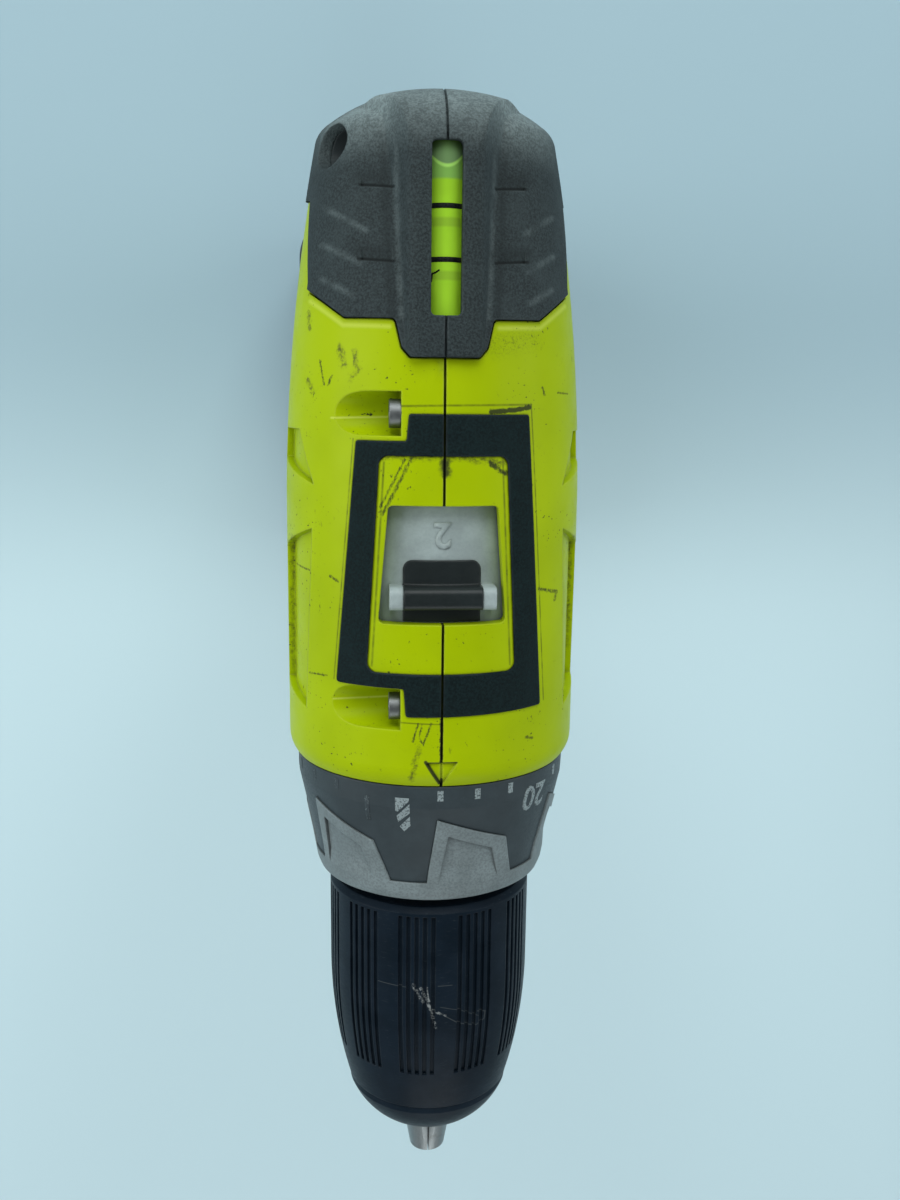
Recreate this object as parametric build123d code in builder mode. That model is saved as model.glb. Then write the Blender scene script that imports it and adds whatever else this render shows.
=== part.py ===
# Cordless drill-driver: pistol housing in two halves, rubber grips, motor, three-stage planetary
# gearbox with two speeds, torque clutch, keyless three-jaw chuck and a slide-on battery.
# Millimetres. Z is up, the chuck points to -Y, +X is the user's left.
# The origin is the middle of the battery's base.
from build123d import *
import os
from math import asin, cos, pi, radians, sin, sqrt, tan

os.makedirs("parts", exist_ok=True)

# Overall heights, from the base upward
battery_height = 52.0
foot_height = 20.0
grip_length = 106.0

# Barrel: the housing round the motor and gearbox, turned about the chuck axis
barrel_front = -77.0
barrel_length = 134.4
barrel_radius = 30.9
barrel_lip_radius = 29.4
barrel_lip_length = 4.0
barrel_taper_start = 50.0
barrel_taper_radius = 385.0
barrel_dome_radius = 36.0
barrel_rear_corner = 3.6
wall = 2.8
seam_groove_width = 0.45
seam_groove_depth = 0.7
side_recess_depth = 1.5

# Ridge along the top of the rear end, which holds the spirit level
ridge_start = 82.7
ridge_crown_half = 6.0
ridge_side_lean = 0.49
ridge_top = 30.4
ridge_edge_round = 2.6
ridge_rear_round = 14.0
ridge_rear_inset = 3.3
ridge_plan_radius = 48.0
level_window_start = 90.1
level_window_length = 30.2
level_window_width = 5.6
vial_radius = 4.3
vial_length = 32.5
vial_depth = 0.9

# Rubber grips: bedded into the housing and a little proud of it
grip_bed = 1.6
grip_proud = 0.6
grip_gap = 0.25
rear_grip_step = 89.7
rear_grip_tongue_half = 7.9
rear_grip_shoulder_half = 18.4
rear_grip_side_height = 13.0
rear_grip_ledges = (99.7, 113.0)
rear_grip_ledge_length = 3.2
rear_grip_ledge_lean = 10.0
rear_grip_ledge_height = 27.0
rear_grip_corner = 0.9
rear_grip_floor = -24.0

# Dark inlay frame round the speed selector, and the selector window
frame_front = 14.5
frame_rear = 72.4
frame_front_half = 20.4
frame_rear_half = 16.4
frame_inner_front = 23.0
frame_inner_rear = 64.7
frame_inner_front_half = 14.5
frame_inner_rear_half = 12.1
frame_bed = 1.2
frame_proud = 0.3
frame_corner = 0.5
frame_inner_corner = 1.8
window_front = 32.7
window_rear = 55.4
window_front_half = 12.3
window_rear_half = 10.4
window_corner = 1.0
pointer_length = 5.2
pointer_half = 3.1
pointer_depth = 0.5

# Handle and foot
handle_width = 37.0
handle_depth = 47.0
handle_base_y = 18.0
handle_lean = 12.0
handle_neck_y = 9.0
handle_round = 15.0
gusset_front = 46.0
gusset_rear = 46.0
gusset_drop = -24.0
gusset_round = 7.0
foot_width = 67.0
foot_length = 114.0
foot_round = 16.0
foot_slope = 14.0

# Housing screws, driven in from the user's right
screw_head_radius = 2.7
screw_head_length = 2.2
screw_radius = 1.5
screw_reach = 8.0
screw_boss_radius = 4.2
screw_recess_radius = 4.1
screw_height = 26.5
front_screw = 15.8
middle_screw = 72.4
rear_screw = 122.0
rear_screw_height = 13.0
top_screw_seat = 8.0
rear_screw_seat = 12.0
lower_screw_seat = 8.0

# Gears, the same tooth count in all three stages
module = 0.8
sun_teeth = 18
planet_teeth = 15
ring_teeth = 48
planet_count = 3
backlash = 0.3
planet_width = 6.5
output_planet_width = 9.0
planet_pin_radius = 1.9
pin_clearance = 0.1
carrier_thickness = 3.5
carrier_radius = 17.6
coupling_rim_width = 4.0
run_gap = 0.5
shift_travel = 7.0
ring_radius = 23.2
lug_count = 22
lug_angle = 6.5
lug_length = 2.6

# Gearbox case and clutch
clutch_depth = 20.0
case_wall = 4.0
case_bore_radius = 23.4
case_radius = 25.6
nose_radius = 16.0
nose_reach = 25.0
clutch_pin_radius = 1.75
clutch_pin_circle = 21.0
clutch_pin_count = 6
clutch_spring_inner = 17.6
clutch_spring_outer = 21.6
clutch_nut_length = 5.0
clutch_nut_station = -13.0
clutch_nut_radius = 22.3

# Spindle and its bearing
spindle_radius = 6.0
spindle_shoulder_radius = 8.8
spindle_thread_radius = 6.2
bearing_radius = 14.0
bearing_width = 8.0

# Motor
motor_plate_thickness = 3.0
can_radius = 18.5
can_wall = 1.7
can_length = 46.0
shaft_radius = 2.0
armature_radius = 12.0
armature_length = 26.0
armature_slots = 10
magnet_thickness = 3.6
commutator_radius = 5.4
commutator_length = 8.0
end_cap_length = 4.0

# Torque collar
collar_length = 27.0
collar_gap = 0.3
collar_band_radius = 29.0
collar_neck_radius = 25.9
collar_front_radius = 24.9
collar_bore = 22.8
collar_skin = 1.6
collar_arches = 6
collar_grip_proud = 0.35
arch_panel_depth = 0.5

# Keyless chuck
chuck_start = -29.6
sleeve_end = -78.6
sleeve_radius = 22.4
sleeve_mouth_radius = 18.4
sleeve_straight_end = -50.0
sleeve_bore = 20.2
sleeve_front_bore = 17.1
groove_groups = 11
grooves_in_group = 5
groove_pitch_angle = 4.5
groove_width = 0.9
groove_depth = 0.55
groove_front = -69.0
nose_ring_end = -90.1
nose_ring_radius = 7.8
nose_ring_bulge = 1.5
nose_hole_radius = 7.3
nose_wall = 1.5
nose_clearance = 0.35
chuck_body_radius = 16.4
jaw_tip = -99.8
jaw_radius = 4.0
jaw_angle = 16.5
jaw_tip_outer = 4.2
jaw_length = 30.0
jaw_nose_radius = 4.05
jaw_nose_length = 11.8
jaw_nose_slope = 0.18
jaw_clearance = 0.12
chuck_nut_front = -72.5
chuck_nut_length = 5.0

# Speed selector
selector_top = 27.7
selector_thickness = 1.7
selector_front = 24.6
selector_rear = 56.4
bar_front = 35.6
bar_width = 4.4
bar_half = 10.2
bar_top = 31.6
bar_round = 1.4
pad_half = 7.6
pad_rear = 44.8
pad_thickness = 0.5
pad_corner = 1.9
fork_half = 5.0
fork_thickness = 2.4
fork_groove_radius = 21.0

# Trigger, switch and direction lever
trigger_half = 9.0
trigger_top = -40.5
trigger_bottom = -66.0
trigger_front = 48.5
trigger_stem_radius = 3.0
trigger_travel = 8.0
trigger_depth = 26.0
switch_half = 10.4
switch_depth = 22.0
switch_height = 33.0
switch_clearance = 0.1
lever_half_length = 23.5
lever_width = 10.0
lever_height = 6.0
lever_station = 64.0
lever_drop = 36.5

# Battery
battery_length = 120.0
battery_width = 69.0
battery_round = 16.0
battery_wall = 1.7
battery_split = 31.0
battery_gap = 0.2
battery_parting = 0.5
battery_groove_count = 3
battery_groove_length = 46.0
battery_groove_width = 1.8
battery_groove_pitch = 5.5
battery_groove_depth = 0.8
battery_groove_rise = 10.0
cell_radius = 9.1
cell_length = 65.0
cells_in_row = 5
cell_pitch = 18.3
post_width = 25.0
post_depth = 32.0
post_round = 9.0
post_height = 42.0
latch_length = 26.0
latch_height = 7.5
latch_rise = 45.2
latch_reach = 7.0
latch_proud = 1.2

# Positions that follow from the sizes above
axis_z = battery_height + foot_height + grip_length + barrel_radius
barrel_rear = barrel_front + barrel_length
foot_top = battery_height + foot_height
pitch_radius = module * sun_teeth / 2
planet_pitch_radius = module * planet_teeth / 2
ring_pitch_radius = module * ring_teeth / 2
planet_circle = pitch_radius + planet_pitch_radius
tooth_width = module * pi / 2 - backlash
space_width = module * pi / 2 + backlash
case_front = barrel_front + clutch_depth
output_front = case_front + case_wall + run_gap
output_rear = output_front + carrier_thickness
planet3_front = output_rear + run_gap
planet3_rear = planet3_front + output_planet_width
carrier2_front = planet3_rear + run_gap
carrier2_rear = carrier2_front + coupling_rim_width
planet2_front = carrier2_rear + run_gap
planet2_rear = planet2_front + planet_width
ring2_front = carrier2_front + run_gap
ring2_rear = planet2_rear
ring1_front = ring2_rear + shift_travel + run_gap
planet1_front = ring1_front + run_gap
planet1_rear = planet1_front + planet_width
carrier1_front = planet1_front - run_gap - carrier_thickness
motor_plate_front = planet1_rear + run_gap
motor_front = motor_plate_front + motor_plate_thickness
motor_rear = motor_front + can_length
vial_height = ridge_top - vial_depth - vial_radius
jaw_slope = tan(radians(jaw_angle))

PROFILE = Plane(origin=(0, 0, axis_z), x_dir=(0, 1, 0), z_dir=(1, 0, 0))
AXIS = Axis((0, 0, axis_z), (0, 1, 0))


def at(distance):
    """Y of a point so far behind the joint between collar and barrel."""
    return barrel_front + distance


def station(y):
    """Plane square to the chuck axis that faces the chuck."""
    return Plane(origin=(0, y, axis_z), x_dir=(1, 0, 0), z_dir=(0, -1, 0))


def turned(*outline):
    """Solid turned about the chuck axis from (y, radius) corners."""
    with BuildPart() as solid:
        with BuildSketch(PROFILE):
            with BuildLine():
                Polyline(*outline, close=True)
            make_face()
        revolve(axis=AXIS)
    return solid.part


def tube(front, rear, inner, outer):
    """Plain ring about the chuck axis."""
    return turned((front, inner), (rear, inner), (rear, outer), (front, outer))


def circles_meet(centre_a, radius_a, centre_b, radius_b):
    """Meeting point of two circles that lies further back."""
    span_y = centre_b[0] - centre_a[0]
    span_r = centre_b[1] - centre_a[1]
    span = sqrt(span_y**2 + span_r**2)
    along = (radius_a**2 - radius_b**2 + span**2) / (2 * span)
    aside = sqrt(radius_a**2 - along**2)
    foot_y = centre_a[0] + along * span_y / span
    foot_r = centre_a[1] + along * span_r / span
    return (foot_y + aside * span_r / span, foot_r - aside * span_y / span)


def barrel(inset):
    """Barrel with its skin moved inward by inset."""
    straight = barrel_radius - inset
    bend = barrel_taper_radius - inset
    dome = barrel_dome_radius - inset
    bend_centre = (at(barrel_taper_start), barrel_radius - barrel_taper_radius)
    dome_centre = (barrel_rear - barrel_dome_radius, 0)
    corner = circles_meet(bend_centre, bend, dome_centre, dome)
    middle_y = (bend_centre[0] + corner[0]) / 2
    middle_r = bend_centre[1] + sqrt(bend**2 - (middle_y - bend_centre[0]) ** 2)
    half_angle = asin(corner[1] / dome) / 2
    cap_middle = (dome_centre[0] + dome * cos(half_angle), dome * sin(half_angle))
    start = (at(barrel_taper_start), straight)
    lip_drop = barrel_radius - barrel_lip_radius
    lip_arc = (barrel_lip_length**2 + lip_drop**2) / (2 * lip_drop)
    lip_middle_r = straight - lip_arc + sqrt(lip_arc**2 - (barrel_lip_length / 2) ** 2)
    lip_start = (barrel_front, barrel_lip_radius - inset)
    lip_end = (at(barrel_lip_length), straight)
    with BuildPart() as form:
        with BuildSketch(PROFILE) as side:
            with BuildLine():
                Line((barrel_front, 0), lip_start)
                ThreePointArc(lip_start, (at(barrel_lip_length / 2), lip_middle_r), lip_end)
                Line(lip_end, start)
                ThreePointArc(start, (middle_y, middle_r), corner)
                ThreePointArc(corner, cap_middle, (barrel_rear - inset, 0))
                Line((barrel_rear - inset, 0), (barrel_front, 0))
            make_face()
            tip = side.sketch_local.vertices().sort_by_distance((corner[0], corner[1], 0))[0]
            fillet(tip, radius=max(barrel_rear_corner - inset, 0.6))
        revolve(axis=AXIS)
    return form.part


def ridge(inset):
    """Level ridge on the barrel's rear end, its skin moved inward by inset."""
    top = ridge_top - inset
    rear = barrel_rear - ridge_rear_inset - inset
    arc = ridge_rear_round - inset
    pivot = barrel_rear - ridge_rear_inset - ridge_plan_radius
    front = at(ridge_start) + inset
    low = 10
    low_half = ridge_crown_half + ridge_side_lean * (ridge_top - low) - inset * sqrt(1 + ridge_side_lean**2)
    top_half = low_half - ridge_side_lean * (top - low)
    with BuildPart() as form:
        with BuildSketch(PROFILE):
            with BuildLine():
                Polyline((pivot, low), (pivot, top), (rear - arc, top))
                JernArc((rear - arc, top), (1, 0), arc, -90)
                Polyline((rear, top - arc), (rear, low), (pivot, low))
            make_face()
        revolve(axis=Axis((0, pivot, axis_z), (0, 0, 1)))
        with BuildSketch(station(rear + 1)) as section:
            with BuildLine():
                Polyline((-low_half, low), (low_half, low), (top_half, top), (-top_half, top), close=True)
            make_face()
            crown = section.sketch_local.vertices().group_by(Axis.Y)[-1]
            fillet(crown, radius=max(ridge_edge_round - inset, 0.5))
        extrude(amount=rear + 1 - front, mode=Mode.INTERSECT)
    return form.part


def handle(inset):
    """Handle with the gusset that joins it to the barrel, its skin moved inward by inset."""
    low = foot_top - 6
    rise = axis_z - 15 - low
    with BuildPart() as form:
        with BuildSketch(Plane.XY.offset(low)):
            with Locations((0, handle_base_y)):
                RectangleRounded(handle_width - 2 * inset, handle_depth - 2 * inset, handle_round - inset)
        extrude(amount=rise, dir=(0, -handle_lean, rise))
    with BuildPart() as gusset:
        with BuildSketch(PROFILE):
            with BuildLine():
                Polyline(
                    (gusset_rear, gusset_drop),
                    (gusset_rear, -14),
                    (at(gusset_front), -14),
                    (at(gusset_front), gusset_drop),
                )
                ThreePointArc((at(gusset_front), gusset_drop), (at(gusset_front + 11), -31), (at(62), -43))
                Polyline((at(62), -43), (8, -66), (33.5, -66))
                ThreePointArc((33.5, -66), (36.6, -44), (gusset_rear, gusset_drop))
            make_face()
            offset(amount=-inset, kind=Kind.INTERSECTION)
        extrude(amount=handle_width / 2 - inset, both=True)
        arcs = gusset.edges().filter_by(lambda e: abs(e.center().X) > handle_width / 2 - inset - 0.01)
        fillet(arcs.filter_by(GeomType.CIRCLE), radius=max(gusset_round - inset, 0.6))
    with BuildPart() as joined:
        add(form.part)
        add(gusset.part)
    return joined.part


def foot(inset, start):
    """Foot that sits on the battery, its skin moved inward by inset, from height start."""
    with BuildPart() as form:
        with BuildSketch(Plane.XY.offset(start)):
            RectangleRounded(foot_width - 2 * inset, foot_length - 2 * inset, foot_round - inset)
        extrude(amount=foot_top - inset - start, taper=foot_slope)
    return form.part


def side_prism(*corners):
    """Bar along X with the given (y, height above the axis) outline."""
    with BuildPart() as form:
        with BuildSketch(PROFILE):
            with BuildLine():
                Polyline(*corners, close=True)
            make_face()
        extrude(amount=60, both=True)
    return form.part


def top_prism(*corners, corner_round=0):
    """Block above the chuck axis with the given (x, distance behind the joint) plan."""
    with BuildPart() as form:
        with BuildSketch(Plane.XY.offset(axis_z)) as plan:
            with BuildLine():
                Polyline(*[(x, at(distance)) for x, distance in corners], close=True)
            make_face()
            if corner_round > 0:
                fillet(plan.sketch_local.vertices(), radius=corner_round)
        extrude(amount=50)
    return form.part


def toothed(teeth, middle, outer, inner, width):
    """Corners of a toothed outline with one tooth at the top; width is measured at the middle radius."""
    corners = []
    slope = tan(radians(20))
    for index in range(teeth):
        centre = pi / 2 + index * 2 * pi / teeth
        foot_angle = (width / 2 + (middle - inner) * slope) / inner
        tip_angle = (width / 2 - (outer - middle) * slope) / outer
        for radius, angle in (
            (inner, centre - foot_angle),
            (outer, centre - tip_angle),
            (outer, centre + tip_angle),
            (inner, centre + foot_angle),
        ):
            corners.append((radius * cos(angle), radius * sin(angle)))
    return corners


def gear(teeth, front, rear):
    """Toothed wheel on the chuck axis."""
    radius = module * teeth / 2
    outline = toothed(teeth, radius, radius + 0.8 * module, radius - 1.1 * module, tooth_width)
    with BuildPart() as form:
        with BuildSketch(station(rear)):
            with BuildLine():
                Polyline(*outline, close=True)
            make_face()
        extrude(amount=rear - front)
    return form.part


def ring_bore(front, rear):
    """Toothed bore of a ring gear."""
    inner = ring_pitch_radius - 0.8 * module
    outer = ring_pitch_radius + 1.1 * module
    outline = toothed(ring_teeth, ring_pitch_radius, outer, inner, space_width)
    with BuildPart() as form:
        with BuildSketch(station(rear)):
            with BuildLine():
                Polyline(*outline, close=True)
            make_face()
        extrude(amount=rear - front)
    return form.part


def planet(front, rear):
    """Planet gear above the chuck axis, bored for its pin."""
    radius = planet_pitch_radius
    outline = toothed(planet_teeth, radius, radius + 0.8 * module, radius - 1.1 * module, tooth_width)
    with BuildPart() as form:
        with BuildSketch(station(rear)):
            with Locations((0, planet_circle)):
                with BuildLine():
                    Polyline(*[(x, y + planet_circle) for x, y in outline], close=True)
                make_face()
                Circle(planet_pin_radius + pin_clearance, mode=Mode.SUBTRACT)
        extrude(amount=rear - front)
    return form.part


def pins(front, rear):
    """Planet pins of one carrier."""
    with BuildPart() as form:
        with BuildSketch(station(rear)):
            with PolarLocations(planet_circle, planet_count, start_angle=90):
                Circle(planet_pin_radius)
        extrude(amount=rear - front)
    return form.part


def around(solid, index, count):
    """Copy of a solid turned about the chuck axis by index of count equal steps."""
    return solid.rotate(AXIS, 360 * index / count)


def cross_rod(y, z, start, end, radius):
    """Rod along X."""
    with BuildPart() as form:
        with BuildSketch(Plane(origin=(start, y, z), x_dir=(0, 1, 0), z_dir=(1, 0, 0))):
            Circle(radius)
        extrude(amount=end - start)
    return form.part


def block(x0, x1, y0, y1, z0, z1):
    """Box between two corners."""
    with BuildPart() as form:
        with Locations(((x0 + x1) / 2, (y0 + y1) / 2, (z0 + z1) / 2)):
            Box(x1 - x0, y1 - y0, z1 - z0)
    return form.part


# Screw places: y, z, depth of the head's seat
top_screws = (
    (at(front_screw), axis_z + screw_height, top_screw_seat),
    (at(middle_screw), axis_z + screw_height, top_screw_seat),
    (at(rear_screw), axis_z + rear_screw_height, rear_screw_seat),
)
handle_screw_z = axis_z - 84
foot_screw_z = battery_height + foot_height / 2 - 1
lower_screws = (
    (handle_neck_y - 14, handle_screw_z, lower_screw_seat),
    (handle_neck_y + 19, handle_screw_z + 4, lower_screw_seat),
    (-foot_length / 2 + 12, foot_screw_z, lower_screw_seat),
    (foot_length / 2 - 9, foot_screw_z, lower_screw_seat),
)

# Solid forms shared by the housing halves and the pieces bedded in them
barrel_skin = barrel(0)
barrel_hollow = barrel(wall)
barrel_groove = barrel(seam_groove_depth)
barrel_bed = barrel(grip_bed)
barrel_rubber = barrel(-grip_proud)
barrel_frame_bed = barrel(frame_bed)
barrel_frame_top = barrel(-frame_proud)
ridge_skin = ridge(0)
ridge_groove = ridge(seam_groove_depth)
ridge_bed = ridge(grip_bed)
ridge_rubber = ridge(-grip_proud)
ridge_rubber_groove = ridge(seam_groove_depth - grip_proud)
handle_skin = handle(0)
handle_hollow = handle(wall)
handle_groove = handle(seam_groove_depth)
handle_bed = handle(grip_bed)
handle_rubber = handle(-grip_proud)
handle_core = handle(1.0)
foot_skin = foot(0, battery_height)
foot_hollow = foot(wall, battery_height - 1)
foot_groove = foot(seam_groove_depth, battery_height - 1)
seam_slab = block(-seam_groove_width / 2, seam_groove_width / 2, -200, 200, -10, axis_z + 60)


def rear_grip_plan(gap):
    """Plan of the rear rubber, grown by gap."""
    tongue = rear_grip_tongue_half + gap
    right = [
        (tongue - 1.6, ridge_start - gap),
        (tongue, ridge_start + 1.8 - gap),
        (tongue + 1.2, rear_grip_step - gap),
        (rear_grip_shoulder_half + gap / 2, rear_grip_step + 0.3 - gap),
        (26.0 + gap, 96.0 - gap),
        (45.0, 98.0 - gap),
        (45.0, barrel_length + 10),
    ]
    left = [(-x, distance) for x, distance in reversed(right)]
    return top_prism(*right, *left, corner_round=rear_grip_corner)


def rear_grip_side(gap):
    """Side view of the rear rubber, grown by gap."""
    low = rear_grip_side_height - gap
    return side_prism(
        (at(ridge_start - 2), 48),
        (at(ridge_start - 2), low),
        (at(97), low),
        (at(113 - gap), low - 5),
        (at(117 - gap), rear_grip_floor - gap),
        (at(barrel_length + 9), rear_grip_floor - gap),
        (at(barrel_length + 9), 48),
    )


rear_lower_side = side_prism(
    (at(117), rear_grip_floor),
    (at(barrel_length + 9), rear_grip_floor),
    (at(barrel_length + 9), 0.5),
    (at(113.8), 0.5),
)
rear_lower_side_pocket = side_prism(
    (at(117 - grip_gap), rear_grip_floor - grip_gap),
    (at(barrel_length + 9), rear_grip_floor - grip_gap),
    (at(barrel_length + 9), 0.5),
    (at(113.8 - grip_gap), 0.5),
)
rear_plan = rear_grip_plan(0)
rear_plan_pocket = rear_grip_plan(grip_gap)
rear_side = rear_grip_side(0)
rear_side_pocket = rear_grip_side(grip_gap)
handle_grip_side = side_prism(
    (handle_neck_y - 8, -58),
    (handle_neck_y + 8, -44),
    (handle_neck_y + 60, -32),
    (handle_base_y + 60, foot_top + 5 - axis_z),
    (handle_base_y - 10, foot_top + 5 - axis_z),
    (handle_base_y - 40, foot_top + 20 - axis_z),
    (handle_neck_y - 40, -78),
    (handle_neck_y - 14, -70),
)
frame_plan = top_prism(
    (-6.6, frame_rear),
    (frame_rear_half, frame_rear),
    (frame_front_half, frame_front + 0.4),
    (-7.0, frame_front),
    (-7.4, frame_front + 5.6),
    (-frame_front_half, frame_front + 5.6),
    (-frame_rear_half, frame_rear - 5.0),
    (-7.0, frame_rear - 5.0),
    corner_round=frame_corner,
)
frame_opening = top_prism(
    (-frame_inner_front_half, frame_inner_front),
    (frame_inner_front_half, frame_inner_front),
    (frame_inner_rear_half, frame_inner_rear),
    (-frame_inner_rear_half, frame_inner_rear),
    corner_round=frame_inner_corner,
)
selector_window = top_prism(
    (-window_front_half, window_front),
    (window_front_half, window_front),
    (window_rear_half, window_rear),
    (-window_rear_half, window_rear),
    corner_round=window_corner,
)
pointer = top_prism((0, 0.3), (pointer_half, pointer_length), (-pointer_half, pointer_length))

with BuildPart() as level_window:
    with BuildSketch(Plane.XY.offset(axis_z + vial_height)):
        with Locations((0, at(level_window_start + level_window_length / 2))):
            RectangleRounded(level_window_width, level_window_length, 0.9)
    extrude(amount=20)

vial_middle = at(level_window_start + level_window_length / 2)
with BuildPart() as vial_channel:
    with BuildSketch(station(vial_middle + vial_length / 2 + 0.1)):
        with Locations((0, vial_height)):
            Circle(vial_radius + 0.1)
    extrude(amount=vial_length + 0.2)

# Recess in which a screw's head sits: open above at the two upper screws, a round hole at the rest
with BuildPart() as screw_recesses:
    for y, z, seat in top_screws[:2]:
        seat_plane = Plane(origin=(-seat, y, z), x_dir=(0, 1, 0), z_dir=(-1, 0, 0))
        with BuildSketch(seat_plane):
            Circle(screw_recess_radius)
            with Locations((0, -20)):
                Rectangle(2 * screw_recess_radius, 40)
        extrude(amount=45)
    for y, z, seat in top_screws[2:]:
        add(cross_rod(y, z, -60, -seat, screw_recess_radius))
    for y, z, seat in lower_screws:
        add(cross_rod(y, z, -60, -seat, screw_head_radius + 0.6))

with BuildPart() as screw_holes:
    for y, z, seat in top_screws + lower_screws:
        add(cross_rod(y, z, -seat - 1, screw_reach + 0.6, screw_radius + 0.1))

with BuildPart() as housing_screws:
    for y, z, seat in top_screws + lower_screws:
        add(cross_rod(y, z, -seat - screw_head_length, -seat, screw_head_radius))
        add(cross_rod(y, z, -seat, screw_reach, screw_radius))
        add(cross_rod(y, z, -seat - screw_head_length, -seat - 0.8, 1.1), mode=Mode.SUBTRACT)

with BuildPart() as side_recesses:
    add(side_prism((at(12.5), 15.5), (at(49.8), 18), (at(45), 4), (at(16), 2)))
    add(side_prism((at(58.4), 18.5), (at(69), 13), (at(69), 2), (at(63), 2)))
    add(barrel(side_recess_depth), mode=Mode.SUBTRACT)
    add(block(-20, 20, -200, 200, axis_z - 60, axis_z + 60), mode=Mode.SUBTRACT)

with BuildPart() as vents:
    for distance in (82, 86.5, 91, 95.5, 100):
        low_edge = ((at(distance), -17), (at(distance + 2.2), -17))
        high_edge = ((at(distance + 5.2), -3), (at(distance + 3), -3))
        add(side_prism(*low_edge, *high_edge))

with BuildPart() as trigger_slot:
    add(
        block(
            -trigger_half - 0.4,
            trigger_half + 0.4,
            at(trigger_front - 25),
            handle_neck_y,
            axis_z + trigger_bottom - 0.4,
            axis_z + trigger_top + 0.4,
        )
    )

lever_y = at(lever_station)
lever_z = axis_z - lever_drop
with BuildPart() as lever_slot:
    with BuildSketch(Plane(origin=(-60, lever_y, lever_z), x_dir=(0, 1, 0), z_dir=(1, 0, 0))):
        RectangleRounded(lever_width + 0.6, lever_height + 0.6, 2.2)
    extrude(amount=120)

switch_front = at(trigger_front) + trigger_depth + trigger_travel + 1.5
switch_z0 = axis_z + trigger_top - 2 - switch_height
switch_z1 = switch_z0 + switch_height
post_top = battery_height - battery_gap + post_height
block_z0 = post_top + 1.0
block_z1 = block_z0 + 9

# Room for the switch body, also where its corners come near the handle's wall
switch_space = block(
    -switch_half - switch_clearance,
    switch_half + switch_clearance,
    switch_front - switch_clearance,
    switch_front + switch_depth + switch_clearance,
    switch_z0 - switch_clearance,
    switch_z1 + switch_clearance,
)

# Plates inside the handle that hold the switch and the terminal block
with BuildPart() as handle_plates:
    for z in (switch_z0 + 4, switch_z1 - 8, block_z0 + 3):
        with Locations((0, handle_neck_y, z)):
            Box(80, 120, 2.4)
    add(handle_core, mode=Mode.INTERSECT)
    add(
        block(
            -switch_half - switch_clearance,
            switch_half + switch_clearance,
            at(20),
            switch_front + switch_depth + switch_clearance,
            switch_z0 - 1,
            switch_z1 + 3,
        ),
        mode=Mode.SUBTRACT,
    )
    add(block(-13.1, 13.1, handle_base_y - 11.1, handle_base_y + 11.1, 0, block_z1 + 1), mode=Mode.SUBTRACT)

# Rings inside the barrel that hold the gearbox case and the motor
with BuildPart() as barrel_rings:
    add(tube(case_front + 0.5, case_front + 3.5, case_radius + 0.1, barrel_radius - 1))
    add(tube(motor_front - 6.0, motor_front - 3.0, case_radius + 0.1, barrel_radius - 1))
    add(tube(motor_front + 4.0, motor_front + 6.5, can_radius + 0.1, barrel_radius - 1.5))
    add(tube(motor_rear - 8.0, motor_rear - 5.5, can_radius + 0.1, barrel_radius - 5.5))
    add(block(-18, 18, at(22), motor_front, axis_z + 12, axis_z + 28), mode=Mode.SUBTRACT)

with BuildPart() as inner_spaces:
    add(tube(at(-1), case_front + 0.2, 0, 23.4))
    add(tube(case_front, motor_front + 0.2, 0, case_radius + 0.1))
    add(tube(motor_front, motor_rear + 6, 0, can_radius + 0.1))

# Housing: both halves as one shell, then split along the middle
with BuildPart() as shell:
    add(barrel_skin)
    add(ridge_skin)
    add(handle_skin)
    add(foot_skin)
    add(barrel_hollow, mode=Mode.SUBTRACT)
    add(handle_hollow, mode=Mode.SUBTRACT)
    add(foot_hollow, mode=Mode.SUBTRACT)
    add(barrel_rings.part)
    add(handle_plates.part)
    add(switch_space, mode=Mode.SUBTRACT)

with BuildPart() as screw_bosses:
    for y, z, seat in top_screws:
        add(cross_rod(y, z, -barrel_radius, barrel_radius, screw_boss_radius + 1.2))
    add(barrel_groove, mode=Mode.INTERSECT)
    add(inner_spaces.part, mode=Mode.SUBTRACT)

with BuildPart() as lower_inside:
    add(handle_groove)
    add(foot_groove)

with BuildPart() as lower_bosses:
    for y, z, seat in lower_screws:
        add(cross_rod(y, z, -40, 40, screw_boss_radius))
    add(lower_inside.part, mode=Mode.INTERSECT)

with BuildPart() as grip_pocket:
    add(rear_plan_pocket)
    add(rear_side_pocket, mode=Mode.INTERSECT)
    add(rear_lower_side_pocket)
    add(barrel_bed, mode=Mode.SUBTRACT)
    add(ridge_bed, mode=Mode.SUBTRACT)

with BuildPart() as handle_grip_pocket:
    add(handle_grip_side)
    add(handle_bed, mode=Mode.SUBTRACT)
    add(barrel_rubber, mode=Mode.SUBTRACT)

with BuildPart() as frame_pocket:
    add(frame_plan)
    add(frame_opening, mode=Mode.SUBTRACT)
    add(barrel_frame_bed, mode=Mode.SUBTRACT)

with BuildPart() as pointer_pocket:
    add(pointer)
    add(barrel(pointer_depth), mode=Mode.SUBTRACT)

with BuildPart() as seam:
    add(seam_slab)
    add(barrel_groove, mode=Mode.SUBTRACT)
    add(ridge_groove, mode=Mode.SUBTRACT)
    add(handle_groove, mode=Mode.SUBTRACT)
    add(foot_groove, mode=Mode.SUBTRACT)

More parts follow.
